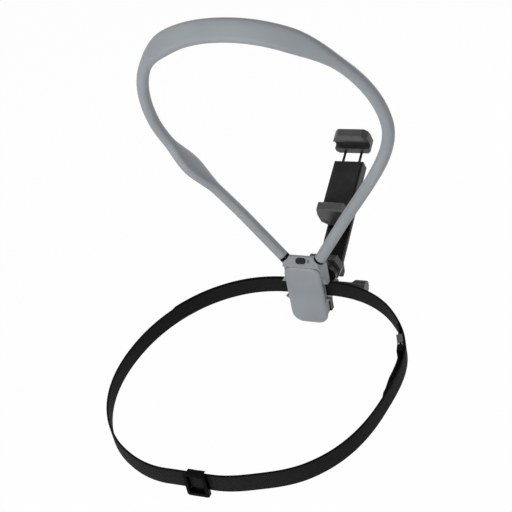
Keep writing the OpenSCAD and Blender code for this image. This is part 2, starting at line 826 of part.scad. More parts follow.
module dock_plate() color(black) difference() {
    union() {
        rod_y(front_y + slide_gap, plate_y + over, neck_r);
        stand(plate_y, drum_y) oval_outline(2 * plate_half, plate_h);
    }
    rod_y(front_y - over, front_y + slide_gap + disc_t + fit_gap, disc_r + fit_gap);
    box([-hook_half - slide_gap, catch_y - slide_gap, -plate_h],
        [hook_half + slide_gap, catch_y + catch_t + slide_gap, catch_rise + slide_gap - neck_r]);
}

module swivel_drum() color(mid_grey) difference() {
    union() {
        rod_y(drum_y + fit_gap, drum_end, drum_r);
        rod_y(drum_end - over, hub_y, hub_r);
    }
    rod_y(hub_y - swivel_thread_l, hub_y + over, swivel_thread_d / 2 + fit_gap);
}

module swivel_washer() color(steel) difference() {
    rod_y(sink_y + fit_gap, sink_y + washer_t, washer_r);
    rod_y(sink_y - over, sink_y + over, swivel_thread_d / 2 + fit_gap);
}

module swivel_screw() color(steel) {
    rod_y(hub_y - swivel_thread_l + slide_gap, sink_y + washer_t + over, swivel_thread_d / 2);
    rod_y(sink_y + washer_t + fit_gap, sink_y + washer_t + screw_head_l, screw_head_r);
}

module block_outline(inset) polygon([
    [inset - block_edge_half, block_top - inset], [block_edge_half - inset, block_top - inset],
        [block_half - inset, 0],
    [block_edge_half - inset, inset - block_top], [inset - block_edge_half, inset - block_top],
        [inset - block_half, 0]
]);

module mount_block() color(mid_grey) difference() {
    union() {
        difference() {
            stand(block_y, block_end) block_outline(0);
            stand(block_y - over, block_y + block_recess) block_outline(block_rim);
        }
        box([-prong_half, hinge_y - knuckle_r, hinge_z + knuckle_r + slide_gap],
            [prong_half, hinge_y, over - block_top]);
        both() box([tongue_half + slide_gap, hinge_y - knuckle_r, hinge_z],
            [prong_half, hinge_y, over - block_top]);
        both() translate([0, hinge_y, hinge_z]) rod_x_dir(tongue_half + slide_gap, prong_half, knuckle_r);
    }
    rod_y(block_y, block_end + over, swivel_thread_d / 2 + fit_gap);
    rod_y(sink_y, block_end + over, sink_r);
    translate([0, hinge_y, hinge_z]) {
        rod_x_dir(-2 * prong_half, 2 * prong_half, screw_d / 2 + fit_gap);
        rotate([0, 90, 0]) translate([0, 0, -prong_half - over])
            cylinder(h = nut_sink + over, d = nut_af / cos(30) + 2 * fit_gap, $fn = 6);
    }
}

module thumb_screw() color(steel) translate([0, hinge_y, hinge_z])
    rod_x_dir(nut_sink - prong_half - nut_t, knob_start + knob_l / 2, screw_d / 2);

module thumb_knob() color(black) translate([0, hinge_y, hinge_z]) difference() {
    union() {
        rod_x_dir(prong_half + slide_gap, knob_start, knob_neck_r);
        translate([knob_start - knob_cone_l, 0, 0]) rotate([0, 90, 0])
            cylinder(h = knob_cone_l, r1 = knob_neck_r, r2 = knob_d / 2, $fn = round_fn);
        rod_x_dir(knob_start, knob_end, knob_d / 2);
    }
    rod_x_dir(0, knob_start + knob_l / 2 + fit_gap, screw_d / 2 + fit_gap);
    for (i = [0 : knob_ribs - 1]) rotate([360 * i / knob_ribs, 0, 0]) translate([0, knob_d / 2, 0])
        rod_x_dir(knob_start - over, knob_end + over, knob_rib_r);
}

module hinge_nut() color(steel) translate([0, hinge_y, hinge_z]) rotate([0, 90, 0]) difference() {
    translate([0, 0, nut_sink - prong_half - nut_t])
        cylinder(h = nut_t - fit_gap, d = nut_af / cos(30), $fn = 6);
    translate([0, 0, -2 * prong_half])
        cylinder(h = 2 * prong_half, d = screw_d + 2 * fit_gap, $fn = round_fn);
}

// Side view of the arm's foot: along the arm and out of its plane
module foot_side() polygon([
    [foot_start, foot_low + foot_chamfer], [foot_start + foot_chamfer, foot_low],
    [arm_start - foot_chamfer, foot_low], [arm_start + 2 * foot_chamfer, arm_low + arm_floor],
    [foot_start, arm_low]
]);

module arm() color(mid_grey) in_arm() difference() {
    union() {
        difference() {
            box([-arm_w / 2, arm_start, arm_low], [arm_w / 2, arm_l + arm_end_l, arm_rise]);
            box([arm_wall - arm_w / 2, arm_start - over, arm_low + arm_floor],
                [arm_w / 2 - arm_wall, arm_l + arm_end_l + over, arm_rise + over]);
        }
        across(foot_half) foot_side();
        box([-tongue_half, -knuckle_r / 2, 0], [tongue_half, foot_start + over, tongue_top]);
        rod_x_dir(-tongue_half, tongue_half, knuckle_r);
        both() translate([0, arm_l, pivot_rise]) {
            rod_x_dir(pivot_half + slide_gap, pivot_half + pivot_ear, ear_r);
            box([pivot_half + slide_gap, -ear_r, arm_low - pivot_rise],
                [pivot_half + pivot_ear, ear_r, 0]);
        }
    }
    rod_x_dir(-2 * tongue_half, 2 * tongue_half, screw_d / 2 + fit_gap);
    translate([0, arm_l, pivot_rise])
        rod_x_dir(-2 * pivot_half, 2 * pivot_half, pivot_pin_d / 2 + fit_gap);
}

// Places on the upper hinge
module on_pivot() in_arm() translate([0, arm_l, pivot_rise]) children();

module clamp_pin() color(steel) on_pivot() {
    rod_x_dir(-pivot_half - pivot_ear - pin_extra, pivot_half + pivot_ear + slide_gap, pivot_pin_d / 2);
    rod_x_dir(pivot_half + pivot_ear + fit_gap, pivot_half + pivot_ear + pin_head_t, pin_head_d / 2);
}

module pin_clip() color(steel) on_pivot() difference() {
    rod_x_dir(-pivot_half - pivot_ear - fit_gap - clip_t, -pivot_half - pivot_ear - fit_gap, clip_d / 2);
    rod_x_dir(-pivot_half - pivot_ear - pin_extra, -pivot_half, pivot_pin_d / 2 + fit_gap);
}

module clamp_screw_spots() for (p = clamp_screw_places_share)
    translate([p[0] * clamp_w / 2, (clamp_end + body_near) / 2 + p[1] * (clamp_end - body_near) / 2,
        0]) children();

module clamp_body() color(dark_grey) in_clamp() difference() {
    box([-clamp_w / 2, body_near, body_low], [clamp_w / 2, clamp_end, body_top]);
    both() translate([rod_x, 0, rod_n]) {
        rod_y(body_near - over, body_near + screw_jaw_in + slide_gap, screw_jaw_d / 2);
        rod_y(chamber_near, clamp_end + over, rod_d / 2 + fit_gap);
        rod_y(chamber_near, clamp_end - rod_wall, chamber_d / 2);
    }
    clamp_screw_spots() translate([0, 0, body_low - over])
        cylinder(h = clamp_screw_l, d = clamp_screw_d, $fn = small_fn);
}

module clamp_cover() color(dark_grey) in_clamp() difference() {
    union() {
        box([-clamp_w / 2, body_near, cover_low], [clamp_w / 2, clamp_end, body_low - fit_gap]);
        translate([0, pivot_u, pivot_n]) {
            rod_x_dir(-pivot_half, pivot_half, pivot_r);
            box([-pivot_half, -pivot_r, 0], [pivot_half, pivot_r, cover_low - pivot_n + cover_t / 2]);
        }
    }
    translate([0, pivot_u, pivot_n])
        rod_x_dir(-2 * pivot_half, 2 * pivot_half, pivot_pin_d / 2 + fit_gap);
    clamp_screw_spots() {
        translate([0, 0, cover_low - over])
            cylinder(h = 2 * over + cover_t, d = clamp_screw_d + 2 * fit_gap, $fn = small_fn);
        translate([0, 0, cover_low - over])
            cylinder(h = over + clamp_screw_head_t, d = clamp_screw_head + 2 * fit_gap, $fn = small_fn);
    }
}

module clamp_screws() color(steel) in_clamp() clamp_screw_spots() {
    translate([0, 0, cover_low + fit_gap])
        cylinder(h = clamp_screw_head_t - 2 * fit_gap, d = clamp_screw_head, $fn = small_fn);
    translate([0, 0, cover_low + fit_gap])
        cylinder(h = clamp_screw_l, d = clamp_screw_d - 2 * fit_gap, $fn = small_fn);
}

module body_pad() color(rubber_black) in_clamp()
    box([-clamp_w / 2 + wall, sheet_gap - jaw_wall_u, body_top + fit_gap],
        [clamp_w / 2 - wall, clamp_end - wall, body_top + sheet_t]);

// Side view of a jaw: Y runs outwards from the phone's edge, Z out of the screen
module jaw_profile(foot, low) polygon([
    [jaw_back_u, low], [jaw_back_u, jaw_rise - over], [jaw_back_u - over, jaw_rise],
        [phone_half + over, jaw_rise],
    [phone_half - lip, jaw_rise / 2], [phone_half - lip, over], [jaw_wall_u, over + lip / 4],
    [jaw_wall_u, -phone_t - back_gap], [foot, -phone_t - back_gap], [foot, low]
]);

// A jaw's front view: narrow at its face, widest beside the phone
module jaw_front(half, low, r) {
    polygon([[-jaw_face_half, jaw_rise], [jaw_face_half, jaw_rise], [half - over, jaw_rise / 3],
        [half, -phone_t / 3],
        [half, low + r], [half - r, low], [r - half, low], [-half, low + r], [-half, -phone_t / 3],
            [over - half, jaw_rise / 3]]);
}

module jaw_solid(half, foot, low, r) intersection() {
    rotate([90, 0, 90]) translate([0, 0, -2 * half]) linear_extrude(4 * half) jaw_profile(foot, low);
    stand(foot - over, jaw_back_u + over) jaw_front(half, low, r);
}

module lower_jaw() color(mid_grey) in_clamp() difference() {
    mirror([0, 1, 0]) jaw_solid(lower_jaw_half, jaw_wall_u, cover_low, lower_jaw_r);
    both() translate([rod_x, 0, rod_n]) {
        box([-notch_w / 2, -jaw_back_u - over, -notch_h / 2],
            [notch_w / 2, notch_d - jaw_back_u, notch_h / 2]);
        rod_y(-jaw_back_u, -jaw_wall_u + over, screw_jaw_d / 2 + fit_gap);
    }
    mirror([0, 1, 0]) box([-clamp_w, jaw_wall_u - over, cover_low - over],
        [clamp_w, -body_near + fit_gap, body_top + slide_gap]);
}

module jaw_screws() color(steel) in_clamp() both() translate([rod_x, 0, rod_n]) {
    rod_y(notch_d - jaw_back_u - screw_jaw_head_t, notch_d - jaw_back_u - fit_gap, screw_jaw_head_d / 2);
    rod_y(notch_d - jaw_back_u - screw_jaw_head_t, body_near + screw_jaw_in, screw_jaw_d / 2 - fit_gap);
}

module jaw_lining(half) {
    box([-half, phone_half + jaw_pad_gap, -phone_t - back_gap + slide_gap],
        [half, jaw_wall_u - fit_gap, over - slide_gap]);
}

module lower_jaw_pad() color(rubber_black) in_clamp() mirror([0, 1, 0]) jaw_lining(lower_jaw_half - 2);

module upper_jaw() color(dark_grey) in_clamp() difference() {
    jaw_solid(jaw_half, jaw_foot_u, upper_jaw_low, upper_jaw_r);
    both() translate([rod_x, 0, rod_n])
        rod_y(jaw_foot_u - over, jaw_foot_u + rod_seat + fit_gap, rod_d / 2);
}

module upper_jaw_pad() color(rubber_black) in_clamp() jaw_lining(jaw_half - 3);

module jaw_rods() color(steel) in_clamp() both() translate([rod_x, 0, rod_n]) {
    rod_y(head_at, jaw_foot_u + rod_seat, rod_d / 2);
    rod_y(head_at - head_t, head_at, head_d / 2);
}

module jaw_spring() color(steel) in_clamp() translate([rod_x, 0, rod_n]) difference() {
    rod_y(head_at + fit_gap, clamp_end - rod_wall - fit_gap, rod_d / 2 + fit_gap + spring_wire);
    rod_y(head_at - over, clamp_end, rod_d / 2 + 2 * fit_gap);
}
module jaw_spring_right() jaw_spring();
module jaw_spring_left() mirror([1, 0, 0]) jaw_spring();

// Cross-section of the belt at a point of its route, moved outwards, with more thickness outside
function belt_ring_points(i, out, more) =
    let(p = belt_route[i] + belt_out(i) * out, u = [0, 0, belt_w / 2], o = belt_out(i) * belt_t / 2,
        m = belt_out(i) * more)
    [p + u + o + m, p + u - o, p - u - o, p - u + o + m];

// The webbing folded back on itself on the wearer's left makes the belt twice as thick there
function fold_t(i) = i >= layer_from && i <= layer_to ? belt_t : 0;

module chest_belt() color(webbing_black) {
    rings = [for (i = [0 : belt_count - 1]) belt_ring_points(i, 0, fold_t(i))];
    points = [for (r = rings) each r];
    polyhedron(points, [for (i = [0 : belt_count - 1]) for (j = [0 : 3]) let(n = (i + 1) % belt_count,
        k = (j + 1) % 4)
        each [[i * 4 + j, n * 4 + j, i * 4 + k], [i * 4 + k, n * 4 + j, n * 4 + k]]]);
    skin([for (i = [inner_from : inner_to])
        belt_ring_points(i, -inner_offset(180 * i / belt_steps), 0)]);
}

// Distance of the inner layer from the belt's middle line, at an angle
function inner_share(a) = smooth((inner_half - abs(a - inner_a)) / inner_taper);
function inner_offset(a) = belt_t - fit_gap + (inner_off - belt_t) * inner_share(a);

// Places on the back of the belt, with Y towards the wearer's back and Z up the webbing
module on_back() translate(back_left) rotate([0, 0, atan2(back_span.y, back_span.x)])
    translate([glide_x - back_left.x, 0, 0]) children();

module tri_glide() color(black) on_back() difference() {
    union() {
        stand(-glide_near - glide_t, -glide_near) outline(glide_l, glide_low, glide_top, glide_r, glide_r);
        box([-glide_lug_w / 2, -glide_near - glide_t / 2, glide_low],
            [glide_lug_w / 2, glide_near + glide_bar_t, glide_top]);
    }
    box([glide_bar_w - glide_l / 2, -2 * glide_t, glide_low + glide_rail_low],
        [glide_l / 2 - glide_bar_w, over - glide_near, glide_top - glide_rail_top]);
    box([-glide_l, -glide_near, -glide_window_h / 2], [glide_l, 2 * glide_t, glide_window_h / 2]);
    box([-glide_bar_w / 2 - fit_gap, glide_near - fit_gap, -glide_top - fit_gap],
        [glide_bar_w / 2 + fit_gap, 2 * glide_t, glide_top + fit_gap]);
}

module glide_bar() color(black) on_back()
    box([-glide_bar_w / 2, glide_near, -glide_top], [glide_bar_w / 2, glide_near + glide_bar_t, glide_top]);

// Places on the inner layer at the right of the belt: X outwards, Y along the webbing to the front
function strap_dir(a) = unit(right_point(a + 2) - right_point(a - 2));
module on_strap(a) translate(right_point(a))
    rotate([0, 0, atan2(strap_dir(a).y, strap_dir(a).x) + 90]) translate([-inner_offset(a), 0, 0])
    children();

module loop_frame(l, t, h, w) difference() {
    box([-t / 2, -l / 2, -h / 2], [t / 2, l / 2, h / 2]);
    box([0, w - l / 2, w - h / 2], [t, l / 2 - w, h / 2 - w]);
    box([-belt_t / 2 - hook_room, -l, -belt_w / 2 - slide_gap],
        [belt_t / 2 + hook_room, l, belt_w / 2 + slide_gap]);
}

module belt_hook() color(black) on_strap(hook_a) loop_frame(hook_l, hook_t, hook_h, hook_wall);
module belt_ring() color(mid_grey) on_strap(ring_a) loop_frame(ring_l, hook_t, hook_h, hook_wall);

neckband_cover();
neckband_core();
band_plugs();
band_ring_left();
band_ring_right();
housing_rear();
housing_front();
chest_pad();
top_button();
button_spring();
latch_slide();
side_button();
side_spring();
dock_magnet();
housing_screws();
lock_mark();
dock_disc();
dock_plate();
swivel_drum();
swivel_washer();
swivel_screw();
mount_block();
thumb_screw();
thumb_knob();
hinge_nut();
arm();
clamp_pin();
pin_clip();
clamp_body();
clamp_cover();
body_pad();
lower_jaw();
lower_jaw_pad();
upper_jaw();
upper_jaw_pad();
jaw_rods();
jaw_spring_left();
jaw_spring_right();
jaw_screws();
clamp_screws();
chest_belt();
tri_glide();
glide_bar();
belt_ring();
belt_hook();
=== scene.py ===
import json
import math

import bmesh
import bpy
import numpy as np
from mathutils import Matrix, Vector

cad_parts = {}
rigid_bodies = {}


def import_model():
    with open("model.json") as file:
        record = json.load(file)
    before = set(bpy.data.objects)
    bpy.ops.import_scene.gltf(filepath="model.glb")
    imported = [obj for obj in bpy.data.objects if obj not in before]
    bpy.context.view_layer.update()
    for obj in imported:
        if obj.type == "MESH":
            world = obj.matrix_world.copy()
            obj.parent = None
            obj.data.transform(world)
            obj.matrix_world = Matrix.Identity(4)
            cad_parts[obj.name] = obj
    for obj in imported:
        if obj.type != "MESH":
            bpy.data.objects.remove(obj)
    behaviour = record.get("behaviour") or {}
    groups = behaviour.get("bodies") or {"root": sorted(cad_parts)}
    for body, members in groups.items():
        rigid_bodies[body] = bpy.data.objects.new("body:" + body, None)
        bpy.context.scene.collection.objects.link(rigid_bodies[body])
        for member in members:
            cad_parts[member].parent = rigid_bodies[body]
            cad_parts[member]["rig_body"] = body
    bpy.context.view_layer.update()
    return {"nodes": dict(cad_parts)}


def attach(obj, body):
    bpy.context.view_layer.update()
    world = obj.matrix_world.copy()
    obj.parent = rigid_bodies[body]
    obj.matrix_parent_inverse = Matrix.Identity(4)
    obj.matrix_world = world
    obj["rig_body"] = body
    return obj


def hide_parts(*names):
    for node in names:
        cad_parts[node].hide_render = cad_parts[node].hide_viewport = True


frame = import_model()
MM = 0.001

# Camera: angles in degrees, places in metres, sensor and lens in millimetres
AROUND, ABOVE, ROLL = 30.17, 31.15, 12.48
DISTANCE, SLIDE_RIGHT, SLIDE_UP = 0.9818, -0.0462, 0.0370
SENSOR, LENS = 36.0, 73.93
# Light: the world's strength, and for each lamp its place, its aim, its side in metres and its watts
WORLD = 0.33
LAMPS = {
    "key": ((-0.55, -1.35, 0.15), (0, 0, 0.1), 1.0, 13),
    "fill": ((0.92, -0.92, 0.33), (0, 0, 0.05), 0.25, 4),
    "top": ((-0.55, 0.11, 1.2), (0, 0.1, 0.05), 0.5, 1.4),
    "pad_rim": ((-0.56, -0.68, 0.96), (0, 0, 0.03), 0.3, 1.3),
    "rim": ((0.3, 1.3, 0.5), (0, 0, 0.1), 0.6, 5),
}
# Floor: its height and half its side in metres, its paper's grey, and how much it shines to the camera
FLOOR_Z, FLOOR_HALF = -0.30, 6.0
PAPER, FLOOR_SHINE = 0.9, 0.975
WHITE = (1, 1, 1, 1)


# Camera, light and floor
def make_camera():
    """Camera at the photograph's angle, for a square picture."""
    around, above, roll = (math.radians(angle) for angle in (AROUND, ABOVE, ROLL))
    level = Vector((math.cos(around), math.sin(around), 0))
    flat = math.cos(above)
    back = Vector((math.sin(around) * flat, -math.cos(around) * flat, math.sin(above)))
    rise = back.cross(level)
    right = level * math.cos(roll) - rise * math.sin(roll)
    up = level * math.sin(roll) + rise * math.cos(roll)
    place = back * DISTANCE + right * SLIDE_RIGHT + up * SLIDE_UP
    data = bpy.data.cameras.new("camera")
    data.sensor_width = SENSOR
    data.lens = LENS
    data.clip_start, data.clip_end = 0.01, 20.0
    camera = bpy.data.objects.new("camera", data)
    turn = Matrix((right, up, back)).transposed().to_4x4()
    camera.matrix_world = Matrix.Translation(place) @ turn
    bpy.context.collection.objects.link(camera)
    bpy.context.scene.camera = camera


def seen_directly(nodes, links):
    """1 for camera, glossy and transmission rays, 0 for the others."""
    path = nodes.new("ShaderNodeLightPath")
    total = path.outputs["Is Camera Ray"]
    for other in ("Is Glossy Ray", "Is Transmission Ray"):
        most = nodes.new("ShaderNodeMath")
        most.operation = "MAXIMUM"
        links.new(total, most.inputs[0])
        links.new(path.outputs[other], most.inputs[1])
        total = most.outputs[0]
    return total


def make_world():
    """White where it is seen directly, and a soft even light on everything."""
    world = bpy.data.worlds.new("studio")
    bpy.context.scene.world = world
    world.use_nodes = True
    nodes, links = world.node_tree.nodes, world.node_tree.links
    nodes.clear()
    out = nodes.new("ShaderNodeOutputWorld")
    seen = nodes.new("ShaderNodeBackground")
    seen.inputs["Color"].default_value = WHITE
    seen.inputs["Strength"].default_value = 1.0
    light = nodes.new("ShaderNodeBackground")
    light.inputs["Color"].default_value = WHITE
    light.inputs["Strength"].default_value = WORLD
    mix = nodes.new("ShaderNodeMixShader")
    links.new(seen_directly(nodes, links), mix.inputs[0])
    links.new(light.outputs[0], mix.inputs[1])
    links.new(seen.outputs[0], mix.inputs[2])
    links.new(mix.outputs[0], out.inputs["Surface"])


def make_lamp(name, place, aim, size, power):
    """Square lamp that looks at its aim."""
    data = bpy.data.lights.new(name, "AREA")
    data.shape = "SQUARE"
    data.size = size
    data.energy = power
    lamp = bpy.data.objects.new(name, data)
    lamp.location = place
    lamp.rotation_euler = (Vector(aim) - Vector(place)).to_track_quat("-Z", "Y").to_euler()
    bpy.context.collection.objects.link(lamp)


def make_floor():
    """Pale floor that shows as plain white and still takes soft shadows."""
    mesh = bpy.data.meshes.new("floor")
    corners = [(x * FLOOR_HALF, y * FLOOR_HALF, FLOOR_Z) for x, y in ((-1, -1), (1, -1), (1, 1), (-1, 1))]
    mesh.from_pydata(corners, [], [(0, 1, 2, 3)])
    floor = bpy.data.objects.new("floor", mesh)
    bpy.context.collection.objects.link(floor)
    material = bpy.data.materials.new("pale_floor")
    material.use_nodes = True
    nodes, links = material.node_tree.nodes, material.node_tree.links
    nodes.clear()
    out = nodes.new("ShaderNodeOutputMaterial")
    paper = nodes.new("ShaderNodeBsdfDiffuse")
    paper.inputs["Color"].default_value = (PAPER, PAPER, PAPER, 1)
    glow = nodes.new("ShaderNodeEmission")
    glow.inputs["Color"].default_value = WHITE
    glow.inputs["Strength"].default_value = 1.0
    share = nodes.new("ShaderNodeMath")
    share.operation = "MULTIPLY"
    share.inputs[1].default_value = FLOOR_SHINE
    mix = nodes.new("ShaderNodeMixShader")
    links.new(seen_directly(nodes, links), share.inputs[0])
    links.new(share.outputs[0], mix.inputs[0])
    links.new(paper.outputs[0], mix.inputs[1])
    links.new(glow.outputs[0], mix.inputs[2])
    links.new(mix.outputs[0], out.inputs["Surface"])
    mesh.materials.append(material)


make_camera()
make_world()
for lamp, values in LAMPS.items():
    make_lamp(lamp, *values)
make_floor()
bpy.context.scene.view_settings.view_transform = "Standard"


# Materials
def linear(*colour):
    """Screen colour, 0 to 255, as the linear colour that the shader takes."""
    scaled = [c / 255 for c in colour]
    return [c / 12.92 if c <= 0.04045 else ((c + 0.055) / 1.055) ** 2.4 for c in scaled] + [1.0]


class Finish:
    """A material being put together: a principled shader with its pattern, bump and roughness."""

    def __init__(self, name, roughness, metallic=0.0, specular=0.5):
        """The plain shader, before its patterns."""
        self.material = bpy.data.materials.new(name)
        self.material.use_nodes = True
        self.nodes = self.material.node_tree.nodes
        self.links = self.material.node_tree.links
        self.shader = self.nodes["Principled BSDF"]
        for socket, value in (("Roughness", roughness), ("Metallic", metallic),
                              ("Specular IOR Level", specular)):
            self.shader.inputs[socket].default_value = value
        self.place = self.nodes.new("ShaderNodeTexCoord")

    def noise(self, scale, detail, stretch=(1, 1, 1)):
        """Noise over the object, with so many cells per metre."""
        mapping = self.nodes.new("ShaderNodeMapping")
        mapping.inputs["Scale"].default_value = stretch
        self.links.new(self.place.outputs["Object"], mapping.inputs["Vector"])
        noise = self.nodes.new("ShaderNodeTexNoise")
        noise.inputs["Scale"].default_value = scale
        noise.inputs["Detail"].default_value = detail
        self.links.new(mapping.outputs[0], noise.inputs["Vector"])
        return noise.outputs["Fac"]

    def between(self, factor, dark, light, low=0.35, high=0.65):
        """Base colour that goes from dark to light with factor."""
        ramp = self.nodes.new("ShaderNodeValToRGB")
        ramp.color_ramp.elements[0].position, ramp.color_ramp.elements[0].color = low, dark
        ramp.color_ramp.elements[1].position, ramp.color_ramp.elements[1].color = high, light
        self.links.new(factor, ramp.inputs[0])
        self.links.new(ramp.outputs[0], self.shader.inputs["Base Color"])
        return ramp

    def rough_between(self, factor, low, high):
        """Roughness that goes from low to high with factor."""
        span = self.nodes.new("ShaderNodeMapRange")
        span.inputs["To Min"].default_value, span.inputs["To Max"].default_value = low, high
        self.links.new(factor, span.inputs["Value"])
        self.links.new(span.outputs[0], self.shader.inputs["Roughness"])

    def bump(self, height, depth, strength=1.0, under=None):
        """Fine relief of this depth in metres, on top of the relief under it."""
        bump = self.nodes.new("ShaderNodeBump")
        bump.inputs["Distance"].default_value = depth
        bump.inputs["Strength"].default_value = strength
        self.links.new(height, bump.inputs["Height"])
        if under is not None:
            self.links.new(under, bump.inputs["Normal"])
        self.links.new(bump.outputs[0], self.shader.inputs["Normal"])
        return bump.outputs[0]


def grained(name, dark, light, roughness, grain, depth, cloud, specular=0.5):
    """Moulded plastic or rubber: slow colour clouds, a fine moulded grain, and roughness that wanders.

    Grain and cloud are in cells per metre, and depth is in metres.
    """
    wander = 0.05
    f = Finish(name, roughness, specular=specular)
    slow = f.noise(cloud, 4.0)
    f.between(slow, linear(*dark), linear(*light))
    f.rough_between(slow, roughness - wander, roughness + wander)
    fine = f.noise(grain, 2.0)
    f.bump(fine, depth)
    return f.material


def brushed(name, dark, light, roughness, stretch):
    """Turned or drawn metal with fine lines, drawn out along the axis with the small stretch."""
    line_scale, smoother, rougher, depth = 900.0, 0.08, 0.1, 0.00002
    f = Finish(name, roughness, metallic=1.0)
    lines = f.noise(line_scale, 2.0, stretch=stretch)
    f.between(lines, linear(*dark), linear(*light), 0.3, 0.7)
    f.rough_between(lines, roughness - smoother, roughness + rougher)
    f.bump(lines, depth, 0.5)
    return f.material


def webbing(name, rib, half_width):
    """Woven nylon: slanting ribs, and painted shade that darkens the colour towards both selvedges.

    It lies on the strap's own map, which is in metres along and across.
    """
    rib_lean, yarn_lean, counter_lean, counter_shift = 0.75, 2.2, -2.6, 1.2
    yarn_share, rib_share, yarns_per_rib = 0.4, 0.6, 3
    # Where the painted edge shade begins and where it is full, measured in from each edge
    edge_shade_in, edge_shade_out = 1.3 * MM, 0.6 * MM
    rib_depth, fuzz_scale, fuzz_depth = 0.0003, 3500.0, 0.00005
    f = Finish(name, 0.7, specular=0.04)
    split = f.nodes.new("ShaderNodeSeparateXYZ")
    f.links.new(f.place.outputs["UV"], split.inputs[0])

    def math_node(kind, *values):
        """A sum of numbers and sockets."""
        node = f.nodes.new("ShaderNodeMath")
        node.operation = kind
        for socket, value in zip(node.inputs, values):
            if isinstance(value, (int, float)):
                socket.default_value = value
            else:
                f.links.new(value, socket)
        return node.outputs[0]

    def wave(along, across, shift=0.0):
        """Sine with so many turns per metre along and across."""
        turn = math_node("MULTIPLY_ADD", split.outputs[0], along * 2 * math.pi, shift)
        turn = math_node("MULTIPLY_ADD", split.outputs[1], across * 2 * math.pi, turn)
        return math_node("SINE", turn)

    ribs = wave(1 / rib, rib_lean / rib)
    yarns = math_node("MAXIMUM", wave(yarns_per_rib / rib, yarn_lean / rib),
                      wave(yarns_per_rib / rib, counter_lean / rib, counter_shift))
    height = math_node("MULTIPLY_ADD", yarns, yarn_share, math_node("MULTIPLY", ribs, rib_share))
    level = f.nodes.new("ShaderNodeMapRange")
    level.inputs["From Min"].default_value, level.inputs["From Max"].default_value = -1.0, 1.0
    f.links.new(height, level.inputs["Value"])
    ramp = f.between(level.outputs[0], linear(19, 19, 20), linear(34, 34, 35), 0.1, 0.9)
    # Painted shade: near black towards both edges, standing in for the shade on the rounded selvedges
    edge = f.nodes.new("ShaderNodeMapRange")
    edge.inputs["From Min"].default_value = half_width - edge_shade_in
    edge.inputs["From Max"].default_value = half_width - edge_shade_out
    f.links.new(math_node("ABSOLUTE", split.outputs[1]), edge.inputs["Value"])
    painted_edge_shade = f.nodes.new("ShaderNodeMix")
    painted_edge_shade.data_type = "RGBA"
    painted_edge_shade.inputs[7].default_value = linear(4, 4, 4)
    f.links.new(edge.outputs[0], painted_edge_shade.inputs[0])
    f.links.new(ramp.outputs[0], painted_edge_shade.inputs[6])
    f.links.new(painted_edge_shade.outputs[2], f.shader.inputs["Base Color"])
    fuzz = f.noise(fuzz_scale, 2.0)
    f.rough_between(fuzz, 0.6, 0.8)
    first = f.bump(level.outputs[0], rib_depth, 0.8)
    f.bump(fuzz, fuzz_depth, 0.5, under=first)
    return f.material


# Name, darkest and lightest colour, roughness, grain, its depth, clouds
silicone = grained("grey_silicone", (130, 135, 140), (137, 142, 147), 0.5, 2600.0, 0.00002, 18.0,
                   specular=0.4)
shell_plastic = grained("grey_shell_plastic", (120, 124, 129), (127, 131, 136), 0.45, 3000.0, 0.00002, 60.0)
pad_silicone = grained("grey_pad_silicone", (124, 129, 134), (131, 136, 141), 0.36, 2400.0, 0.00002, 40.0)
black_plastic = grained("black_moulded_plastic", (14, 14, 14), (22, 22, 22), 0.36, 2800.0, 0.00003, 70.0,
                        specular=0.14)
dark_plastic = grained("dark_moulded_plastic", (52, 52, 52), (62, 62, 62), 0.34, 2800.0, 0.00003, 70.0,
                       specular=0.3)
# Black plastic for the arm, made near black as painted shade for the shadow of the held phone, which is not
# modelled
arm_plastic_painted_shade = grained("arm_plastic_painted_shade", (5, 5, 5), (10, 10, 10), 0.36, 2800.0, 0.00003, 70.0,
                          specular=0.07)
# Light grey for the rounded edges of some black pieces: a painted highlight that stands in for the bright
# edge reflections of studio lights
painted_edge_highlight = grained("painted_highlight_edge_plastic", (96, 97, 98), (118, 119, 120), 0.3, 2800.0, 0.00002, 70.0,
                       specular=0.3)
jaw_plastic = grained("jaw_plastic", (46, 46, 46), (56, 56, 56), 0.34, 2800.0, 0.00003, 70.0, specular=0.28)
gloss_black = grained("gloss_black_plastic", (2, 2, 2), (4, 4, 4), 0.16, 900.0, 0.00001, 70.0,
                      specular=0.06)
buckle_plastic = grained("buckle_plastic", (3, 3, 3), (6, 6, 6), 0.26, 2600.0, 0.00002, 80.0, specular=0.03)
soft_rubber = grained("soft_black_rubber", (36, 36, 36), (46, 46, 46), 0.75, 1800.0, 0.00005, 80.0,
                      specular=0.12)
ring_plastic = grained("dark_ring_plastic", (66, 66, 67), (78, 78, 79), 0.4, 2600.0, 0.00002, 80.0,
                       specular=0.3)
mark_plastic = grained("mark_plastic", (40, 42, 44), (50, 52, 54), 0.5, 2600.0, 0.00001, 80.0,
                       specular=0.12)
steel = brushed("brushed_steel", (150, 152, 155), (196, 198, 200), 0.3, (1, 1, 0.05))
black_steel = brushed("blackened_steel", (34, 34, 36), (62, 62, 64), 0.34, (1, 0.05, 1))
nylon = webbing("black_webbing", 2.2 * MM, 8.0 * MM)
thread = grained("black_thread", (16, 16, 16), (30, 30, 30), 0.6, 5200.0, 0.00004, 900.0, specular=0.1)

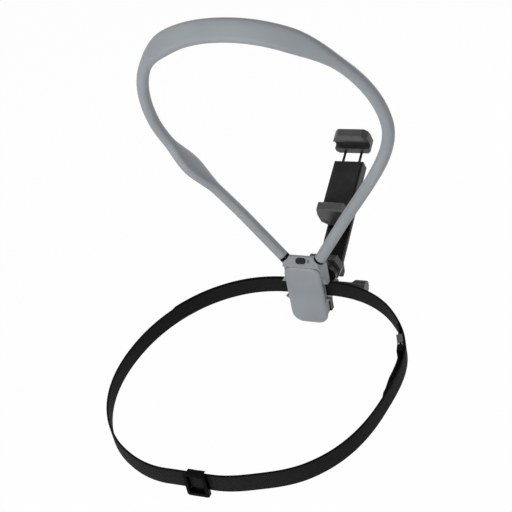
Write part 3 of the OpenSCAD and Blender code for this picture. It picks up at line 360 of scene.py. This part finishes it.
# Each finish with the nodes that have it
FINISHES = (
    (steel, "neckband_core", "band_plugs", "button_spring", "side_spring", "dock_magnet", "dock_disc",
     "swivel_washer", "swivel_screw", "thumb_screw", "hinge_nut", "jaw_spring_left", "jaw_spring_right",
     "jaw_screws"),
    (black_steel, "housing_screws", "clamp_pin", "pin_clip", "jaw_rods", "clamp_screws"),
    (gloss_black, "band_ring_left", "band_ring_right"),
    (shell_plastic, "housing_rear", "housing_front"),
    (pad_silicone, "chest_pad"),
    (black_plastic, "top_button", "side_button", "dock_plate", "clamp_body", "clamp_cover", "latch_slide"),
    (dark_plastic, "thumb_knob", "swivel_drum", "mount_block"),
    (jaw_plastic, "upper_jaw", "lower_jaw"),
    # The arm's near-black colour is partly painted shade
    (arm_plastic_painted_shade, "arm"),
    (mark_plastic, "lock_mark"),
    (soft_rubber, "body_pad", "lower_jaw_pad", "upper_jaw_pad"),
    (nylon, "chest_belt"),
    (buckle_plastic, "tri_glide", "glide_bar", "belt_hook"),
    (ring_plastic, "belt_ring"),
    (silicone, "neckband_cover"),
)
NODE_FINISH = {node: finish for finish, *nodes in FINISHES for node in nodes}
for node, finish in NODE_FINISH.items():
    mesh = frame["nodes"][node].data
    mesh.materials.clear()
    mesh.materials.append(finish)


# Tools for making pieces, with lengths in millimetres and angles in degrees
WELD, FLAT_ANGLE, SHARP_ANGLE = 0.004, 0.6, 32.0
EDGE_STEPS = 3
MELT_VOXEL, MELT_ROUNDS, MELT_FACTOR = 0.36, 4, 0.5


def new_object(name, mesh, finish, smooth):
    """A piece with this mesh and finish, smooth apart from edges sharper than this angle."""
    mesh.materials.clear()
    mesh.materials.append(finish)
    mesh.shade_smooth()
    if smooth is not None:
        mesh.set_sharp_from_angle(angle=math.radians(smooth))
    o = bpy.data.objects.new(name, mesh)
    bpy.context.collection.objects.link(o)
    return o


def applied(o):
    """The object with its modifiers made part of its mesh."""
    graph = bpy.context.evaluated_depsgraph_get()
    mesh = bpy.data.meshes.new_from_object(o.evaluated_get(graph))
    old = o.data
    o.modifiers.clear()
    o.data = mesh
    mesh.name = o.name
    bpy.data.meshes.remove(old)
    return o


def solid_copy(node, flat=FLAT_ANGLE):
    """The solid's mesh with its loose triangles joined into whole faces."""
    mesh = frame["nodes"][node].data.copy()
    work = bmesh.new()
    work.from_mesh(mesh)
    bmesh.ops.remove_doubles(work, verts=work.verts, dist=WELD * MM)
    if flat:
        bmesh.ops.dissolve_limit(work, angle_limit=math.radians(flat), verts=work.verts, edges=work.edges)
    work.to_mesh(mesh)
    work.free()
    return mesh


def stands_for(o, *nodes):
    """The piece moves with the nodes' body and is shown in their place."""
    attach(o, frame["nodes"][nodes[0]]["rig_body"])
    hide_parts(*nodes)
    return o


def softened(node, width):
    """The solid again with its edges rounded over, and a painted highlight laid on the rounded edges of some
    black pieces.
    """
    o = new_object(node + "_rounded", solid_copy(node), NODE_FINISH[node], SHARP_ANGLE)
    # Second material, on the rounded edges only: the painted highlight
    if node in PAINTED_HIGHLIGHT_PIECES:
        o.data.materials.append(painted_edge_highlight)
    bevel = o.modifiers.new("rounded_edges", "BEVEL")
    bevel.width = width
    bevel.segments = EDGE_STEPS
    bevel.limit_method = "ANGLE"
    bevel.angle_limit = math.radians(SHARP_ANGLE)
    bevel.use_clamp_overlap = True
    bevel.harden_normals = True
    if node in PAINTED_HIGHLIGHT_PIECES:
        bevel.material = 1
    return stands_for(applied(o), node)


def moulded(node):
    """The solid with its inner and outer corners melted together, as in a soft moulding."""
    o = new_object(node + "_moulded", solid_copy(node, 0), NODE_FINISH[node], None)
    grid = o.modifiers.new("even_grid", "REMESH")
    grid.mode = "VOXEL"
    grid.voxel_size = MELT_VOXEL * MM
    grid.use_smooth_shade = True
    melt = o.modifiers.new("melted_corners", "SMOOTH")
    melt.factor = MELT_FACTOR
    melt.iterations = MELT_ROUNDS
    return stands_for(applied(o), node)


def swept(name, rings, finish, closed=False, uv=None, smooth=60.0):
    """A tube through rings of points. uv gives the map's two values for a ring and a corner."""
    rings = np.asarray(rings, float)
    count, sides = rings.shape[:2]
    points = rings.reshape(-1, 3)
    faces, maps = [], []
    for i in range(count if closed else count - 1):
        n = (i + 1) % count
        for j in range(sides):
            k = (j + 1) % sides
            faces.append((i * sides + j, i * sides + k, n * sides + k, n * sides + j))
            if uv is not None:
                maps += [uv(i, j), uv(i, j + 1), uv(i + 1, j + 1), uv(i + 1, j)]
    if not closed:
        faces.append(tuple(reversed(range(sides))))
        faces.append(tuple((count - 1) * sides + j for j in range(sides)))
        if uv is not None:
            maps += [uv(0, sides - 1 - j) for j in range(sides)] + [uv(count - 1, j) for j in range(sides)]
    mesh = bpy.data.meshes.new(name)
    mesh.from_pydata(points.tolist(), [], faces)
    if uv is not None:
        layer = mesh.uv_layers.new(name="strap_map")
        layer.data.foreach_set("uv", np.asarray(maps, np.float32).ravel())
    work = bmesh.new()
    work.from_mesh(mesh)
    if work.calc_volume(signed=True) < 0:
        bmesh.ops.reverse_faces(work, faces=work.faces)
    work.to_mesh(mesh)
    work.free()
    return new_object(name, mesh, finish, smooth)


def unit(v):
    """Vectors made one long."""
    return v / np.linalg.norm(v, axis=-1, keepdims=True)


def smooth_step(x):
    """0 up to 0 and 1 from 1 on, with a smooth rise between."""
    x = np.clip(x, 0, 1)
    return x * x * (3 - 2 * x)


# Neckband, in millimetres
BAND_D, NAPE_W, COLLAR_W = 10.4, 18.8, 21.0
NAPE_FLAT, NAPE_TAPER, NAPE_LEAN = 54.0, 46.0, math.radians(70)
COLLAR_Z, COLLAR_HALF = 136.0, 34.0
RING_W, BEND_OFF = 3.0, 49.0
# How much squarer than an ellipse the flat parts are in section
SQUARING = 1.5
SPLAY, RAKE, SHOULDER_SLOPE = math.radians(35), math.radians(3), math.radians(17.5)
RING_AT = np.array([17.7, 7.5, 37.0])
SHOULDER = np.array([107.5, -13, 187.5])
BAND_DIR = np.array([math.sin(SPLAY), -math.sin(RAKE) * math.cos(SPLAY), math.cos(RAKE) * math.cos(SPLAY)])
NAPE = np.array([0, -55.5, 284.5])
# How far each handle of the route's curves reaches, as a share of the curve's span
LOW_PULL, SHOULDER_PULL_DOWN, SHOULDER_PULL_UP, NAPE_PULL = 0.37, 0.28, 0.35, 0.44
STRAIGHT_RINGS, LOWER_RINGS, UPPER_RINGS, BAND_SIDES = 30, 70, 110, 48


def bezier(p, count):
    """Points of a curve with four handles, without the last one."""
    t = np.linspace(0, 1, count + 1)[:-1, None]
    return (1 - t) ** 3 * p[0] + 3 * (1 - t) ** 2 * t * p[1] + 3 * (1 - t) * t * t * p[2] + t ** 3 * p[3]


def band_route():
    """The band's middle line, from the ring on the wearer's right round to the left one, in millimetres."""
    start = RING_AT + BAND_DIR * RING_W / 2
    bend = start + BAND_DIR * BEND_OFF
    rise = np.array([0, -math.sin(SHOULDER_SLOPE), math.cos(SHOULDER_SLOPE)])
    low, high = np.linalg.norm(SHOULDER - bend), np.linalg.norm(NAPE - SHOULDER)
    straight = start + (bend - start) * np.linspace(0, 1, STRAIGHT_RINGS)[:-1, None]
    lower = bezier([bend, bend + BAND_DIR * low * LOW_PULL,
                    SHOULDER - rise * low * SHOULDER_PULL_DOWN, SHOULDER], LOWER_RINGS)
    upper = bezier([SHOULDER, SHOULDER + rise * high * SHOULDER_PULL_UP,
                    NAPE + np.array([1, 0, 0]) * high * NAPE_PULL, NAPE], UPPER_RINGS)
    half = np.vstack([straight, lower, upper])
    return np.vstack([half, NAPE[None], half[::-1] * [-1, 1, 1]])


def make_neckband():
    """The sleeve, with its flat collar pads and its nape pad turned to lie on the neck."""
    route = band_route()
    ahead = np.vstack([route[1:], route[-1:]])
    behind = np.vstack([route[:1], route[:-1]])
    along = unit(ahead - behind)
    turned_from, turned_by = COLLAR_Z + COLLAR_HALF, NAPE[2] - COLLAR_HALF
    k = smooth_step((route[:, 2] - turned_from) / (turned_by - turned_from))
    wide = np.stack([0 * k, 1 - k + k * math.cos(NAPE_LEAN), k * math.sin(NAPE_LEAN)], -1)
    wide = unit(wide - along * (wide * along).sum(-1, keepdims=True))
    thick = np.cross(along, wide)
    nape = smooth_step((NAPE_FLAT + NAPE_TAPER - np.linalg.norm(route - NAPE, axis=1)) / NAPE_TAPER)
    collar = smooth_step(1 - np.abs(route[:, 2] - COLLAR_Z) / (COLLAR_HALF * math.cos(SPLAY)))
    width = BAND_D + (NAPE_W - BAND_D) * nape + (COLLAR_W - BAND_D) * collar
    turn = np.linspace(0, 2 * math.pi, BAND_SIDES, endpoint=False)
    rings = []
    for i in range(len(route)):
        square = 2.0 / (2.0 + SQUARING * max(nape[i], collar[i]))
        a = np.sign(np.cos(turn)) * np.abs(np.cos(turn)) ** square * width[i] / 2
        b = np.sign(np.sin(turn)) * np.abs(np.sin(turn)) ** square * BAND_D / 2
        rings.append(route[i] + wide[i] * a[:, None] + thick[i] * b[:, None])
    band = swept("neckband_sleeve", np.array(rings) * MM, silicone)
    stands_for(band, "neckband_cover")


make_neckband()

# Belt, in millimetres, with places along it as angles from the front at 0 to the back at 180
BELT_W, BELT_T = 16.0, 1.6
BELT_Y, BELT_Z, BELT_STRAIGHT, BELT_REACH = 10.0, 3.5, 20.0, 122.3
BELT_FRONT, BELT_BACK, BELT_POWER = 125.5, 131.0, 2.1
BULGE, BULGE_AT, BULGE_HALF = 2.6, 72.0, 28.0
RIGHT_OUT, RIGHT_OUT_AT, RIGHT_OUT_HALF = 2.6, 129.0, 35.0
RIGHT_IN, RIGHT_IN_AT, RIGHT_IN_HALF = 2.0, 161.0, 21.0
LEFT_IN, LEFT_IN_AT, LEFT_IN_HALF = 2.2, 140.0, 50.0
SAG, SAG_HALF = 1.6, 24.0
SELVEDGE_R, LAYER_TRIM = 0.7, 0.1
INNER_AT, INNER_HALF, INNER_TAPER, INNER_OFF, INNER_END = 76.0, 20.0, 8.0, 3.9, 2.0
FOLD_START, FOLD_END, FOLD_TAPER = 1.0, 62.5, 3.0
FOLD_PRESSED, INNER_PRESSED = 0.15, 0.3
FOLD_RINGS, INNER_RINGS = 80, 70


def belt_point(angle):
    """A point of the belt's middle line on the wearer's right."""
    s, c = abs(math.sin(math.radians(angle))), abs(math.cos(math.radians(angle)))
    q = 2 / BELT_POWER
    reach = BELT_FRONT if angle < 90 else -BELT_BACK
    across = BELT_STRAIGHT + (BELT_REACH - BELT_STRAIGHT) * s ** q
    return [across, BELT_Y - BELT_FRONT + reach * c ** q, BELT_Z]


def hill(angle, middle, half):
    """1 at the middle and 0 beyond half to each side."""
    return float(smooth_step(1 - abs(angle - middle) / half))


def belt_normal(angle):
    """The direction out of the loop, on the wearer's right."""
    t = unit(np.array(belt_point(min(angle + 1, 180))) - np.array(belt_point(max(angle - 1, 0))))
    return np.array([-t[1], t[0], 0])


def right_point(angle):
    """The right side, in gentle waves, and standing off to clear the hook."""
    wave = (RIGHT_OUT * hill(angle, RIGHT_OUT_AT, RIGHT_OUT_HALF)
            - RIGHT_IN * hill(angle, RIGHT_IN_AT, RIGHT_IN_HALF))
    off = np.array([BULGE * hill(angle, BULGE_AT, BULGE_HALF), 0, 0])
    return belt_point(angle) + off + belt_normal(angle) * wave


def left_point(angle):
    """The left side, drawn in a little and sagging by the slider."""
    wave = SAG * hill(angle, 180, SAG_HALF) - LEFT_IN * hill(angle, LEFT_IN_AT, LEFT_IN_HALF)
    return (belt_point(angle) + belt_normal(angle) * wave) * [-1, 1, 1]


def belt_route():
    """The belt's middle line all the way round."""
    angles = np.linspace(0, 180, 181)
    return np.array([right_point(a) for a in angles] + [left_point(a) for a in angles[::-1]])


def strap(name, route, width, closed, shift):
    """Flat webbing with rounded selvedges, shifted outwards from a route.

    Its map is in metres along and across.
    """
    if closed:
        along = unit(np.roll(route, -1, 0) - np.roll(route, 1, 0))
    else:
        along = unit(np.gradient(route, axis=0))
    out = np.stack([-along[:, 1], along[:, 0], 0 * along[:, 0]], -1)
    up = np.array([0, 0, 1.0])
    half_w, half_t = width / 2, BELT_T / 2
    edge = min(half_t, SELVEDGE_R)
    profile = []
    for cx, cz, first in ((half_t - edge, half_w - edge, 0), (-(half_t - edge), half_w - edge, 90),
                          (-(half_t - edge), -(half_w - edge), 180), (half_t - edge, -(half_w - edge), 270)):
        for a in (0, 30, 60, 90):
            t = math.radians(first + a)
            profile.append((cx + edge * math.cos(t), cz + edge * math.sin(t)))
    profile = np.array(profile)
    middle = route + out * np.broadcast_to(shift, len(route))[:, None]
    rings = middle[:, None] + out[:, None] * profile[None, :, 0, None] + up * profile[None, :, 1, None]
    length = np.concatenate([[0], np.cumsum(np.linalg.norm(np.diff(route, axis=0), axis=1))])
    if closed:
        length = np.append(length, length[-1] + np.linalg.norm(route[0] - route[-1]))

    def uv(i, j):
        """Metres along at this ring and across at this corner."""
        return (length[min(i, len(length) - 1)] * MM, profile[j % len(profile)][1] * MM)

    piece = swept(name, rings * MM, nylon, closed, uv, 40.0)
    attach(piece, "wearable")
    return piece


def make_belt():
    """The loop, the fold on the wearer's left and the inner layer under the hook."""
    loop = strap("belt_webbing", belt_route(), BELT_W, True, 0.0)
    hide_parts("chest_belt")
    fold = np.linspace(FOLD_END, FOLD_START, FOLD_RINGS)
    route = np.array([left_point(a) for a in fold])
    pressed = BELT_T * smooth_step(FOLD_PRESSED + (FOLD_END - fold) / FOLD_TAPER)
    strap("belt_fold", route, BELT_W - LAYER_TRIM, False, pressed)
    reach = INNER_HALF + INNER_END
    inner = np.linspace(INNER_AT - reach, INNER_AT + reach, INNER_RINGS)
    route = np.array([right_point(a) for a in inner])
    pressed = smooth_step(INNER_PRESSED + (reach - np.abs(inner - INNER_AT)) / FOLD_TAPER)
    off = smooth_step((INNER_HALF - np.abs(inner - INNER_AT)) / INNER_TAPER)
    gap = -(BELT_T * pressed + (INNER_OFF - BELT_T) * off)
    strap("belt_inner_layer", route, BELT_W - LAYER_TRIM, False, gap)


make_belt()

# Chest pad, in millimetres
PAD_W, PAD_TOP, PAD_LOW, PAD_BACK = 36.6, 30.7, 32.0, 2.95
PAD_LOW_R, PAD_TOP_R = 11.0, 9.5
RIM_WALL, RIM_R, RIM_DEPTH, PAD_CROWN = 0.5, 3.6, 2.05, 0.4
RIM_STEPS, FACE_STEPS, CORNER_STEPS, PAD_MIDDLE = 10, 8, 14, 1.5
CORNER_SHRINK, CORNER_MIN = 0.75, 1.0


def pad_outline(inset):
    """Rounded outline of the pad, drawn in by inset, anticlockwise in X and Z."""
    half_w = PAD_W / 2 - inset
    points = []
    for sx, sz, r, first in ((1, 1, PAD_TOP_R, 0), (-1, 1, PAD_TOP_R, 90), (-1, -1, PAD_LOW_R, 180),
                             (1, -1, PAD_LOW_R, 270)):
        r = max(r - CORNER_SHRINK * inset, CORNER_MIN)
        for i in range(CORNER_STEPS + 1):
            t = math.radians(first + 90 * i / CORNER_STEPS)
            end = (PAD_TOP if sz > 0 else PAD_LOW) - inset
            points.append((sx * (half_w - r) + r * math.cos(t), sz * (end - r) + r * math.sin(t)))
    return np.array(points)


def make_chest_pad():
    """A crowned pad: an upright wall, a full rounded rim and a face that swells towards its middle."""
    steps = [(0.0, PAD_BACK), (0.0, PAD_BACK - RIM_WALL)]
    for i in range(1, RIM_STEPS + 1):
        t = math.radians(90 * i / RIM_STEPS)
        steps.append((RIM_R * (1 - math.cos(t)), PAD_BACK - RIM_WALL - RIM_DEPTH * math.sin(t)))
    for i in range(1, FACE_STEPS + 1):
        inset = RIM_R + (PAD_W / 2 - PAD_MIDDLE - RIM_R) * i / FACE_STEPS
        crown = PAD_CROWN * (1 - (1 - i / FACE_STEPS) ** 2)
        steps.append((inset, PAD_BACK - RIM_WALL - RIM_DEPTH - crown))
    rings = []
    for inset, y in steps:
        outline = pad_outline(inset)
        rings.append(np.stack([outline[:, 0], np.full(len(outline), y), outline[:, 1]], -1))
    pad = swept("chest_pad_moulding", np.array(rings) * MM, pad_silicone, smooth=50.0)
    stands_for(pad, "chest_pad")


make_chest_pad()

# Hard pieces: those whose rounded edges carry a painted highlight, and the width of each one's rounded edges
# in millimetres
PAINTED_HIGHLIGHT_PIECES = ("dock_plate", "mount_block", "arm", "lower_jaw", "side_button")
EDGES = {
    "housing_front": 1.2, "top_button": 0.5, "side_button": 0.5,
    "dock_plate": 0.6, "swivel_drum": 0.6, "mount_block": 0.9, "thumb_knob": 0.6, "arm": 0.5,
    "clamp_body": 0.7, "clamp_cover": 0.5, "body_pad": 0.3, "lower_jaw": 0.9, "lower_jaw_pad": 0.3,
    "upper_jaw": 0.9, "upper_jaw_pad": 0.3, "tri_glide": 0.7, "glide_bar": 0.4, "belt_hook": 0.4,
    "belt_ring": 0.4, "band_ring_left": 0.35, "band_ring_right": 0.35, "swivel_screw": 0.3,
    "hinge_nut": 0.2, "clamp_pin": 0.2,
}
for node, edge in EDGES.items():
    softened(node, edge * MM)
moulded("housing_rear")


# Screw heads with cross recesses, and stitches
def size_tree(name, *sizes):
    """A node tree that makes geometry from named sizes."""
    tree = bpy.data.node_groups.new(name, "GeometryNodeTree")
    for label, kind in sizes:
        tree.interface.new_socket(label, in_out="INPUT", socket_type="NodeSocket" + kind)
    tree.interface.new_socket("Geometry", in_out="OUTPUT", socket_type="NodeSocketGeometry")
    return tree, tree.nodes.new("NodeGroupInput"), tree.nodes.new("NodeGroupOutput")


def finish_tree(tree, instances, material, output):
    """Turns instances into plain faces with their material, as the tree's result."""
    real = tree.nodes.new("GeometryNodeRealizeInstances")
    paint = tree.nodes.new("GeometryNodeSetMaterial")
    paint.inputs["Material"].default_value = material
    tree.links.new(instances, real.inputs[0])
    tree.links.new(real.outputs[0], paint.inputs["Geometry"])
    tree.links.new(paint.outputs[0], output.inputs[0])


def scaled_vector(tree, x, y, z):
    """A vector from three sockets."""
    node = tree.nodes.new("ShaderNodeCombineXYZ")
    for socket, value in zip(node.inputs, (x, y, z)):
        tree.links.new(value, socket)
    return node.outputs[0]


def recess_tree():
    """Cross-shaped cutters, one on each point of the object."""
    tree, sizes, output = size_tree("cross_recesses", ("Points", "Geometry"), ("Arm", "Float"),
                                    ("Slot", "Float"), ("Depth", "Float"), ("Turn", "Vector"))
    join = tree.nodes.new("GeometryNodeJoinGeometry")
    for x, y in (("Arm", "Slot"), ("Slot", "Arm")):
        bar = tree.nodes.new("GeometryNodeMeshCube")
        size = scaled_vector(tree, sizes.outputs[x], sizes.outputs[y], sizes.outputs["Depth"])
        tree.links.new(size, bar.inputs["Size"])
        tree.links.new(bar.outputs["Mesh"], join.inputs[0])
    spread = tree.nodes.new("GeometryNodeInstanceOnPoints")
    tree.links.new(sizes.outputs["Points"], spread.inputs["Points"])
    tree.links.new(join.outputs[0], spread.inputs["Instance"])
    tree.links.new(sizes.outputs["Turn"], spread.inputs["Rotation"])
    finish_tree(tree, spread.outputs[0], black_steel, output)
    return tree


def stitch_tree():
    """A row of slanted stitches along X from the origin."""
    tree, sizes, output = size_tree("stitch_row", ("Stitches", "Int"), ("Pitch", "Float"),
                                    ("Length", "Float"), ("Thread", "Float"))
    row = tree.nodes.new("GeometryNodeMeshLine")
    step = tree.nodes.new("ShaderNodeCombineXYZ")
    tree.links.new(sizes.outputs["Pitch"], step.inputs[0])
    tree.links.new(sizes.outputs["Stitches"], row.inputs["Count"])
    tree.links.new(step.outputs[0], row.inputs["Offset"])
    bead = tree.nodes.new("GeometryNodeMeshUVSphere")
    for label, value in (("Segments", 8), ("Rings", 6), ("Radius", 0.5)):
        bead.inputs[label].default_value = value
    spread = tree.nodes.new("GeometryNodeInstanceOnPoints")
    tree.links.new(row.outputs["Mesh"], spread.inputs["Points"])
    tree.links.new(bead.outputs["Mesh"], spread.inputs["Instance"])
    size = scaled_vector(tree, sizes.outputs["Length"], sizes.outputs["Thread"], sizes.outputs["Thread"])
    tree.links.new(size, spread.inputs["Scale"])
    finish_tree(tree, spread.outputs[0], thread, output)
    return tree


def grown(o, tree, **values):
    """The object's mesh after the tree has run with these sizes, as a new mesh."""
    modifier = o.modifiers.new(tree.name, "NODES")
    modifier.node_group = tree
    for item in tree.interface.items_tree:
        if item.in_out == "INPUT" and item.name in values:
            modifier[item.identifier] = values[item.name]
    bpy.context.view_layer.update()
    graph = bpy.context.evaluated_depsgraph_get()
    mesh = bpy.data.meshes.new_from_object(o.evaluated_get(graph))
    o.modifiers.remove(modifier)
    return mesh


def head_points(mesh, outwards):
    """The middle of each screw's outer face."""
    flush = 0.01 * MM
    work = bmesh.new()
    work.from_mesh(mesh)
    reached, points = set(), []
    for first in work.verts:
        if first in reached:
            continue
        island, front = [], [first]
        reached.add(first)
        while front:
            v = front.pop()
            island.append(v)
            for edge in v.link_edges:
                other = edge.other_vert(v)
                if other not in reached:
                    reached.add(other)
                    front.append(other)
        reach = max(v.co.dot(outwards) for v in island)
        top = [v.co for v in island if v.co.dot(outwards) > reach - flush]
        low, high = (Vector(f(c[i] for c in top) for i in range(3)) for f in (min, max))
        points.append((low + high) / 2)
    work.free()
    return points


def recessed(node, outwards, arm, slot, depth, tree):
    """The node's screws with a cross recess cut in each head, with its sizes in millimetres."""
    outwards = Vector(outwards).normalized()
    o = new_object(node + "_recessed", solid_copy(node), NODE_FINISH[node], SHARP_ANGLE)
    spots = bpy.data.meshes.new(node + "_spots")
    spots.from_pydata(head_points(o.data, outwards), [], [])
    carrier = bpy.data.objects.new(node + "_spots", spots)
    bpy.context.collection.objects.link(carrier)
    turn = outwards.to_track_quat("Z", "Y").to_euler()
    cutters = grown(carrier, tree, Arm=arm * MM, Slot=slot * MM, Depth=2 * depth * MM, Turn=list(turn))
    carrier.data = cutters
    cut = o.modifiers.new("cut", "BOOLEAN")
    cut.operation = "DIFFERENCE"
    cut.solver = "EXACT"
    cut.use_self = True
    cut.object = carrier
    applied(o)
    o.data.materials.clear()
    o.data.materials.append(NODE_FINISH[node])
    bpy.data.objects.remove(carrier)
    return stands_for(o, node)


# For each node of screws: the way its heads face, then the cross's arm, slot and depth
CLAMP_TILT = math.radians(28)
RECESSES = {
    "housing_screws": ((0, 1, 0), 2.2, 0.5, 0.6),
    "clamp_screws": ((0, math.sin(CLAMP_TILT), -math.cos(CLAMP_TILT)), 2.1, 0.5, 0.5),
    "jaw_screws": ((0, -math.cos(CLAMP_TILT), -math.sin(CLAMP_TILT)), 2.2, 0.55, 0.7),
}
crosses = recess_tree()
for node, values in RECESSES.items():
    recessed(node, *values, crosses)

# Stitches in millimetres, and the angles on the belt at which their boxes lie
STITCH_PITCH, STITCH_L, STITCH_T, STITCH_SUNK = 2.3, 1.8, 0.5, 0.05
BOX_HALF_L, BOX_HALF_H = 5.0, 5.5
FOLD_BOX_AT, HOOK_BOXES_AT = 57.5, (55.5, 97.0)


def stitch_frame(point, angle, offset):
    """A place on a strap's face: X along the webbing, Y up, Z out of the face at this offset."""
    here, ahead = np.array(point(angle)), np.array(point(angle + 0.5))
    along = Vector((ahead - here) / np.linalg.norm(ahead - here))
    up = Vector((0, 0, 1))
    out = along.cross(up)
    if out.dot(Vector(here) - Vector((0, BELT_Y - BELT_FRONT, BELT_Z))) < 0:
        out = -out
    place = Vector(here) + out * offset
    return Matrix.Translation(place) @ Matrix((along, up, along.cross(up))).transposed().to_4x4()


def make_stitches():
    """Box stitches on both faces of the fold's end, and on the outer face beside the hook."""
    tree = stitch_tree()
    carrier = bpy.data.objects.new("stitch_row", bpy.data.meshes.new("stitch_row"))
    bpy.context.collection.objects.link(carrier)
    half_l, half_h = BOX_HALF_L, BOX_HALF_H
    turn = math.atan2(half_h, half_l)
    span = 2 * math.hypot(half_l, half_h)
    rows = [((-half_l, -half_h), 0.0, 2 * half_l), ((-half_l, half_h), 0.0, 2 * half_l),
            ((-half_l, -half_h), math.pi / 2, 2 * half_h), ((half_l, -half_h), math.pi / 2, 2 * half_h),
            ((-half_l, -half_h), turn, span), ((-half_l, half_h), -turn, span)]
    face = BELT_T / 2 - STITCH_SUNK
    boxes = [(left_point, FOLD_BOX_AT, -face), (left_point, FOLD_BOX_AT, face + BELT_T)]
    boxes += [(right_point, angle, face) for angle in HOOK_BOXES_AT]
    work = bmesh.new()
    for point, angle, offset in boxes:
        place = stitch_frame(point, angle, offset)
        for (x, z), slant, reach in rows:
            count = int(reach / STITCH_PITCH) + 1
            mesh = grown(carrier, tree, Stitches=count, Pitch=reach / (count - 1), Length=STITCH_L,
                         Thread=STITCH_T)
            mesh.transform(Matrix.Scale(MM, 4) @ place @ Matrix.Translation((x, z, 0))
                           @ Matrix.Rotation(slant, 4, "Z"))
            work.from_mesh(mesh)
            bpy.data.meshes.remove(mesh)
    mesh = bpy.data.meshes.new("belt_stitching")
    work.to_mesh(mesh)
    work.free()
    bpy.data.objects.remove(carrier)
    stitching = new_object("belt_stitching", mesh, thread, 60.0)
    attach(stitching, "wearable")


make_stitches()
